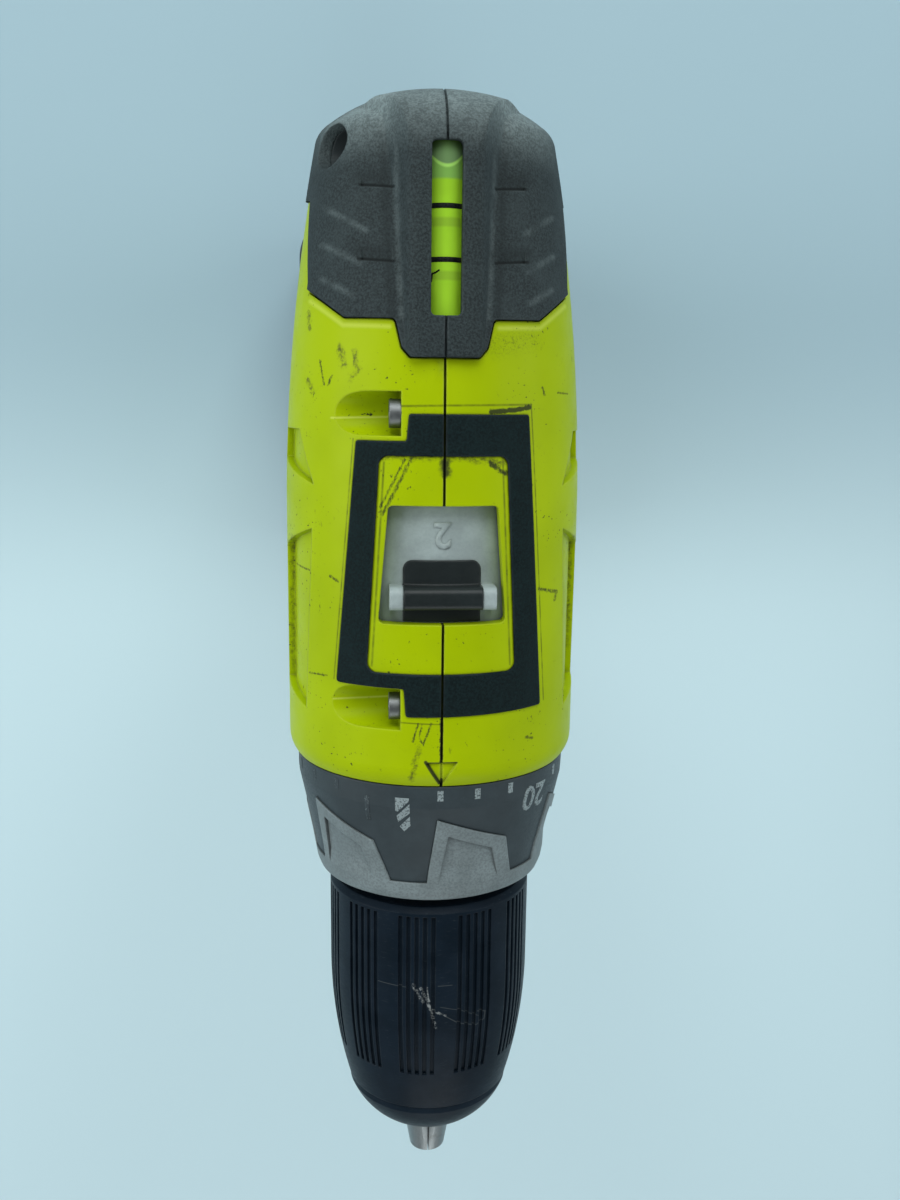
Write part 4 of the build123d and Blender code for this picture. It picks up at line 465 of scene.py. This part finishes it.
def print_ink(name, start, end):
    """Pale printed ink, worn through where its noise lies above start to end."""
    pale = (0.25, 0.30, 0.31)
    bare = (0.036, 0.048, 0.055)
    s = Shader(name)
    worn = s.span(s.noise(0.35, 3.0, 0.7), start, end)
    colour = s.mix(worn, pale, bare)
    s.set(Base_Color=colour, Roughness=0.6, Specular_IOR_Level=0.2)
    return s.material


def chuck_skin():
    """Blue-black chuck plastic with a pale scuff, a curved scratch and fine cross lines."""
    dark = (0.0034, 0.0085, 0.0150)
    light = (0.0058, 0.0125, 0.0215)
    cross_line = (0.05, 0.062, 0.07)
    worn_edge = (0.05, 0.06, 0.068)
    scratch_grey = (0.10, 0.11, 0.11)
    scuff_grey = (0.30, 0.32, 0.32)
    s = Shader("chuck_skin")
    soft_normal, edge = s.rounded(0.35)
    wobble = s.waver(0.9, 1.2)
    cloud = s.noise(8, 3.0)
    fine = s.noise(0.4, 3.0, 0.6, stretch=(4.0, 0.7, 4.0))
    colour = s.mix(s.span(cloud, 0.3, 0.7), dark, light)
    colour = s.mix(s.times(s.span(fine, 0.6, 0.75), 0.30), colour, cross_line)
    colour = s.mix(s.times(edge, s.span(cloud, 0.35, 0.65), 0.30), colour, worn_edge)
    scuff = s.most(
        s.stroke(((-4.8, -47.0), (-2.6, -51.0)), 1.0, 0.8, wobble),
        s.stroke(((-3.2, -47.6), (-1.0, -52.6), (0.1, -56.9)), 0.9, 0.8, wobble),
        s.stroke(((-1.8, -47.4), (-1.5, -50.5)), 0.5, 0.8, wobble),
        s.stroke(((-1.0, -52.6), (2.0, -54.0)), 0.7, 0.8, wobble),
    )
    curl = ((0.5, -53.1), (4.9, -56.2), (9.0, -57.7), (10.8, -56.8), (11.0, -55.0), (9.2, -54.4))
    hair = s.most(
        s.stroke(curl, 0.28, 0.8),
        s.stroke(((1.0, -52.0), (5.4, -53.2), (9.5, -55.6)), 0.2, 0.8),
        s.stroke(((-12.1, -47.3), (-6.3, -47.5)), 0.25, 0.8),
        s.stroke(((0.5, -47.1), (3.5, -47.1)), 0.25, 0.8),
    )
    colour = s.mix(s.times(hair, 0.45), colour, scratch_grey)
    scuff = s.times(scuff, s.span(s.noise(0.5, 3.0, 0.7), 0.42, 0.62), 0.75)
    colour = s.mix(scuff, colour, scuff_grey)
    s.set(Base_Color=colour, Roughness=s.span(fine, 0.3, 0.7, 0.34, 0.48), Specular_IOR_Level=0.085)
    s.set(Normal=s.bump(fine, 0.012, soft_normal, 0.8))
    return s.material


# One material for each plastic, rubber, metal, fluid and ink
LIME = lime_plastic()
# The grip's worn tone is also the colour of its painted sheen and highlights at the rear
GRIP = rubber("grip_rubber", (0.032, 0.043, 0.045), (0.29, 0.36, 0.36), True)
HANDLE_GRIP = rubber("handle_rubber", (0.038, 0.046, 0.049), (0.11, 0.13, 0.13), False)
FRAME = rubber("frame_rubber", (0.0068, 0.0155, 0.0165), (0.05, 0.065, 0.068), False, 0.08)
COLLAR = moulded("collar_plastic", (0.034, 0.047, 0.054), (0.085, 0.105, 0.112), 0.46, 0.5, 0.35)
COLLAR_GRIP = moulded(
    "collar_grip",
    base=(0.180, 0.218, 0.226),
    worn=(0.25, 0.295, 0.305),
    rough=0.50,
    nook_shade_and_grime=(0.04, 0.042, 0.04),
    speckle=0.20,
)
PLATE = moulded(
    "selector_plastic",
    base=(0.335, 0.395, 0.392),
    worn=(0.44, 0.50, 0.49),
    rough=0.36,
    grain_size=0.6,
    wear=0.25,
    nook_shade_and_grime=(0.21, 0.25, 0.24),
)
BLACK = moulded("black_plastic", (0.0150, 0.0200, 0.0205), (0.05, 0.058, 0.06), 0.34, 0.5, 0.4)
NYLON = moulded("dark_nylon", (0.040, 0.048, 0.052), (0.09, 0.10, 0.105), 0.52, 0.5, 0.5)
CHUCK = chuck_skin()
STEEL = metal("machined_steel", (0.56, 0.56, 0.55), 0.32, True)
JAW_STEEL = metal("jaw_steel", (0.29, 0.315, 0.32), 0.38)
DARK_STEEL = metal("dark_steel", (0.12, 0.12, 0.125), 0.42, True, (0.05, 0.05, 0.05))
SCREW = metal("screw_steel", (0.20, 0.21, 0.21), 0.48, False, (0.05, 0.048, 0.04))
CAN = metal("plated_steel", (0.42, 0.42, 0.44), 0.45)
FERRITE = moulded("ferrite", (0.05, 0.05, 0.055), (0.10, 0.10, 0.10), 0.7, 0.3, 0.3)
WINDING = metal("winding", (0.42, 0.20, 0.09), 0.40, True)
COPPER = metal("copper", (0.72, 0.36, 0.20), 0.30, True)
BRONZE = metal("bronze", (0.55, 0.38, 0.17), 0.42, True)
CARBON = moulded("carbon", (0.02, 0.02, 0.02), (0.05, 0.05, 0.05), 0.6, 0.3, 0.3)
CELL = moulded("cell_sleeve", (0.05, 0.16, 0.26), (0.12, 0.22, 0.30), 0.35, 0.8, 0.2)
VIAL = vial_fluid()
INK = print_ink("print_ink", 0.49, 0.63)
FADED_INK = print_ink("faded_ink", 0.27, 0.44)

DRESS = {
    LIME: "housing_right housing_left",
    GRIP: "rear_grip_right rear_grip_left",
    HANDLE_GRIP: "handle_grip_right handle_grip_left",
    FRAME: "top_frame_right top_frame_left",
    COLLAR: "torque_collar",
    COLLAR_GRIP: "collar_grip",
    PLATE: "speed_selector",
    BLACK: "selector_pad trigger direction_lever switch_body terminal_block motor_end_cap "
    "motor_fan battery_latch_right battery_latch_left",
    NYLON: "gearbox_case motor_plate clutch_nut battery_case battery_lid",
    CHUCK: "chuck_sleeve chuck_nose_ring",
    STEEL: "spindle spindle_bearing ring_gear_1 ring_gear_2 ring_gear_3 stage1_planet_a "
    "stage1_planet_b stage1_planet_c stage2_planets stage3_planet_a stage3_planet_b "
    "stage3_planet_c carrier_1 carrier_2 output_carrier motor_shaft clutch_pins shift_fork "
    "clutch_spring",
    JAW_STEEL: "chuck_jaw_a chuck_jaw_b chuck_jaw_c",
    DARK_STEEL: "chuck_body chuck_nut",
    SCREW: "housing_screws",
    CAN: "motor_can",
    FERRITE: "motor_magnets",
    WINDING: "armature",
    COPPER: "commutator",
    BRONZE: "motor_bearings",
    CARBON: "carbon_brushes",
    VIAL: "level_vial",
    CELL: "battery_cells",
}
for material, names in DRESS.items():
    for name in names.split():
        slots = nodes[name].data.materials
        slots.clear()
        slots.append(material)


LONGEST_EDGE = 0.8  # mm; longer edges are divided so that a mark follows its round skin
CAP_SHARE = 0.69  # height of a figure as a share of the font's size
WELD_GAP = 1e-4  # mm


def new_piece(name, bm, material, body):
    """Turns a bmesh into a piece that rides on a body."""
    bmesh.ops.recalc_face_normals(bm, faces=bm.faces)
    mesh = bpy.data.meshes.new(name)
    bm.to_mesh(mesh)
    bm.free()
    mesh.materials.append(material)
    piece = bpy.data.objects.new(name, mesh)
    scene.collection.objects.link(piece)
    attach(piece, body)
    return piece


def collar_radius(distance):
    """Radius of the torque collar's skin."""
    line = ((-27.0, 23.1), (-26.3, 24.3), (-24.8, 24.9), (-19.0, 25.9), (-5.0, 29.0), (-0.3, 29.2))
    for (u0, r0), (u1, r1) in zip(line, line[1:]):
        if distance <= u1:
            return r0 + (r1 - r0) * (distance - u0) / (u1 - u0)
    return line[-1][1]


def plate_radius(_):
    """Radius of the selector plate, the same at every distance."""
    return 27.7


def lay_on(bm, radius, angle, distance, lift, thickness):
    """Wraps a flat bmesh, in mm with y to the rear, onto a turned skin and thickens it."""
    bmesh.ops.triangulate(bm, faces=bm.faces)
    long_edges = [e for e in bm.edges if e.calc_length() > LONGEST_EDGE]
    bmesh.ops.subdivide_edges(bm, edges=long_edges, cuts=2)
    bmesh.ops.triangulate(bm, faces=bm.faces)
    top = list(bm.faces)
    lower = bmesh.ops.duplicate(bm, geom=list(bm.verts) + list(bm.edges) + top)
    low_verts = {v for v in lower["geom"] if isinstance(v, bmesh.types.BMVert)}
    rims = [e for e in bm.edges if e.is_boundary and e.verts[0] not in low_verts]
    pairs = lower["vert_map"]
    for e in rims:
        a, b = e.verts
        bm.faces.new((a, b, pairs[b], pairs[a]))
    for v in bm.verts:
        u = distance + v.co.y
        r = radius(u) + lift - (thickness if v in low_verts else 0.0)
        turn = angle + degrees(v.co.x / r)
        v.co = on_axis(u, turn, r)


def flat_shape(*outlines):
    """Flat bmesh from outlines of (x, y) corners in mm."""
    bm = bmesh.new()
    for outline in outlines:
        bm.faces.new([bm.verts.new((x, y, 0)) for x, y in outline])
    return bm


def flat_text(words, height, bold):
    """Flat bmesh of figures that read from the drill's rear, with height and boldness in mm."""
    curve = bpy.data.curves.new("figures", "FONT")
    curve.body = words
    curve.size = height / CAP_SHARE
    curve.offset = bold
    curve.align_x = "CENTER"
    curve.align_y = "CENTER"
    curve.resolution_u = 3
    holder = bpy.data.objects.new("figures", curve)
    scene.collection.objects.link(holder)
    bpy.context.view_layer.update()
    drawn = holder.evaluated_get(bpy.context.evaluated_depsgraph_get())
    mesh = bpy.data.meshes.new_from_object(drawn)
    bm = bmesh.new()
    bm.from_mesh(mesh)
    bmesh.ops.remove_doubles(bm, verts=bm.verts, dist=WELD_GAP)
    for v in bm.verts:
        v.co = Vector((-v.co.x, -v.co.y, 0))
    bpy.data.objects.remove(holder)
    return bm


# Collar scale: a mark every 15 degrees, five of them figures, and a drill sign after the last
FIGURES = {45: "20", 120: "15", 195: "10", 270: "5", 330: "1"}
FADED = (285, 300, 315, 330)
STEP_ANGLE = 15
STEPS = 23
FIGURE_HEIGHT, FIGURE_BOLD, FIGURE_PLACE = 5.2, 0.16, -5.6
TICK_HALF_WIDTH, TICK_HALF_LENGTH, TICK_PLACE = 0.6, 1.1, -2.2
SIGN_ANGLE, SIGN_PLACE = -15, -6.3
INK_LIFT, INK_DEPTH = 0.04, 0.15
for step in range(STEPS):
    angle = STEP_ANGLE * step
    ink = FADED_INK if angle in FADED else INK
    if angle in FIGURES:
        figures = flat_text(FIGURES[angle], FIGURE_HEIGHT, FIGURE_BOLD)
        lay_on(figures, collar_radius, angle, FIGURE_PLACE, INK_LIFT, INK_DEPTH)
        new_piece("scale_" + FIGURES[angle], figures, ink, "collar")
    else:
        w, h = TICK_HALF_WIDTH, TICK_HALF_LENGTH
        tick = flat_shape(((-w, -h), (w, -h), (w, h), (-w, h)))
        lay_on(tick, collar_radius, angle, TICK_PLACE, INK_LIFT, INK_DEPTH)
        new_piece("tick_%03d" % angle, tick, ink, "collar")
sign = flat_shape(
    ((-1.5, 3.5), (1.35, 3.5), (1.35, 2.9), (-0.95, 0.5), (-1.45, 0.6)),
    ((1.45, 2.3), (1.5, 0.3), (-0.95, -1.9), (-1.25, -0.5)),
    ((1.45, -0.5), (1.5, -2.6), (0.2, -4.0), (-0.7, -2.9)),
)
lay_on(sign, collar_radius, SIGN_ANGLE, SIGN_PLACE, INK_LIFT, INK_DEPTH)
new_piece("drill_sign", sign, INK, "collar")

# Raised gear figures on the selector plate: figure, distance and height
GEAR_FIGURES = (("2", 49.8, 4.8), ("1", 30.0, 3.4))
GEAR_BOLD, GEAR_LIFT, GEAR_DEPTH = 0.22, 0.14, 0.3
for figure, distance, height in GEAR_FIGURES:
    raised = flat_text(figure, height, GEAR_BOLD)
    lay_on(raised, plate_radius, 0, distance, GEAR_LIFT, GEAR_DEPTH)
    new_piece("gear_figure_" + figure, raised, PLATE, "selector")

# Black lines round the level's vial
VIAL_Z = AXIS_Z + 25.2 * MM
VIAL_RADIUS = 4.3
LINE_PLACES = (109.3, 100.0)
LINE_HALF_WIDTH, LINE_SINK, LINE_LIFT = 0.45, 0.05, 0.04
LINE_REACH = 70  # degrees from the top to each end
LINE_PARTS = 24
low_r, high_r = VIAL_RADIUS - LINE_SINK, VIAL_RADIUS + LINE_LIFT
front, back = -LINE_HALF_WIDTH, LINE_HALF_WIDTH
section = ((front, low_r), (front, high_r), (back, high_r), (back, low_r))
line_ink = moulded("level_line", (0.006, 0.008, 0.007), (0.012, 0.014, 0.012), 0.3, 0.4, 0.2)
for index, distance in enumerate(LINE_PLACES):
    band = bmesh.new()
    rows = []
    for y, r in section:
        row = []
        for k in range(LINE_PARTS + 1):
            a = radians(-LINE_REACH + 2 * LINE_REACH * k / LINE_PARTS)
            corner = (r * sin(a) * MM, JOINT_Y + (distance + y) * MM, VIAL_Z + r * cos(a) * MM)
            row.append(band.verts.new(corner))
        rows.append(row)
    for row, following in zip(rows, rows[1:] + rows[:1]):
        for k in range(LINE_PARTS):
            band.faces.new((row[k], row[k + 1], following[k + 1], following[k]))
    band.faces.new([row[0] for row in rows])
    band.faces.new([row[-1] for row in rows])
    new_piece("level_line_%d" % index, band, line_ink, "housing")

# Camera at the photograph's place: turned about the chuck axis, tilted and rolled; degrees and mm
CAMERA_TURN, CAMERA_TILT, CAMERA_ROLL = -5.2, 10.614, 0.674
CAMERA_SIDE, CAMERA_ALONG, CAMERA_RISE = 4.07, -0.87, 235.95
LENS, SENSOR_WIDTH, NEAR_CLIP = 33.0, 36.0, 0.01
turn = Matrix.Rotation(radians(CAMERA_TURN), 3, "Y")
tilt = radians(CAMERA_TILT)
roll = radians(CAMERA_ROLL)
right = Vector((1, 0, 0))
down = Vector((0, -cos(tilt), sin(tilt)))
side = turn @ (right * cos(roll) - down * sin(roll))
below = turn @ (right * sin(roll) + down * cos(roll))
ahead = turn @ Vector((0, -sin(tilt), -cos(tilt)))
foot = Vector((0, CAMERA_ALONG * MM, AXIS_Z))
spot = turn @ Vector((CAMERA_SIDE * MM, 0, CAMERA_RISE * MM)) + foot
camera = bpy.data.objects.new("camera", bpy.data.cameras.new("camera"))
scene.collection.objects.link(camera)
camera.data.lens = LENS
camera.data.sensor_width = SENSOR_WIDTH
camera.data.clip_start = NEAR_CLIP
camera.matrix_world = Matrix(
    (
        (side.x, -below.x, -ahead.x, spot.x),
        (side.y, -below.y, -ahead.y, spot.y),
        (side.z, -below.z, -ahead.z, spot.z),
        (0, 0, 0, 1),
    )
)
scene.camera = camera

# Pale floor, a little darker toward the drill's rear
FLOOR_HALF = 3  # metres
FLOOR_NEAR = (0.565, 0.730, 0.785)
FLOOR_FAR = (0.350, 0.490, 0.555)
floor_mesh = bpy.data.meshes.new("floor")
corners = [(x * FLOOR_HALF, y * FLOOR_HALF, 0) for x, y in ((-1, -1), (1, -1), (1, 1), (-1, 1))]
floor_mesh.from_pydata(corners, [], [(0, 1, 2, 3)])
floor = bpy.data.objects.new("floor", floor_mesh)
scene.collection.objects.link(floor)
paper = Shader("floor_paper")
paper_tone = paper.mix(paper.span(paper.y, -0.10, 0.04), FLOOR_NEAR, FLOOR_FAR)
paper.set(Base_Color=paper_tone, Roughness=0.6, Specular_IOR_Level=0.2)
floor_mesh.materials.append(paper.material)


LAMP_COLOUR = (0.96, 1.0, 1.0)


def lamp(name, place, target, size, power):
    """Soft lamp of a width and height in metres that faces a point."""
    light = bpy.data.lights.new(name, "AREA")
    light.shape = "RECTANGLE"
    light.size, light.size_y = size
    light.energy = power
    light.color = LAMP_COLOUR
    obj = bpy.data.objects.new(name, light)
    scene.collection.objects.link(obj)
    obj.location = place
    obj.rotation_euler = (Vector(target) - Vector(place)).to_track_quat("-Z", "Y").to_euler()


# Left and right are the user's, who looks from the rear
lamp("rear", (0.05, 1.0, 1.0), (0, 0.0, 0.2), (1.3, 0.9), 13.0)
lamp("left", (1.2, 0.1, 0.75), (0, 0, 0.2), (0.9, 0.9), 4.5)
lamp("right", (-1.2, 0.1, 0.75), (0, 0, 0.2), (0.9, 0.9), 9.5)
lamp("front", (0.1, -1.3, 0.8), (0, -0.05, 0.15), (1.0, 0.7), 4.0)

# Pale walls of light all round, dimmer overhead: two heights and the strength at each
SKY_LOW, SKY_HIGH = 0.1, 0.9
WALL_GLOW, CEILING_GLOW = 0.62, 0.16
SKY_COLOUR = (0.86, 0.96, 1.0, 1.0)
world = bpy.data.worlds.new("studio")
scene.world = world
world.use_nodes = True
sky = world.node_tree
way = sky.nodes.new("ShaderNodeTexCoord")
axes = sky.nodes.new("ShaderNodeSeparateXYZ")
rise = sky.nodes.new("ShaderNodeMapRange")
sky.links.new(way.outputs["Generated"], axes.inputs[0])
sky.links.new(axes.outputs[2], rise.inputs[0])
for socket, number in zip(rise.inputs[1:5], (SKY_LOW, SKY_HIGH, WALL_GLOW, CEILING_GLOW)):
    socket.default_value = number
background = sky.nodes["Background"]
background.inputs[0].default_value = SKY_COLOUR
sky.links.new(rise.outputs[0], background.inputs[1])
scene.view_settings.view_transform = "Standard"
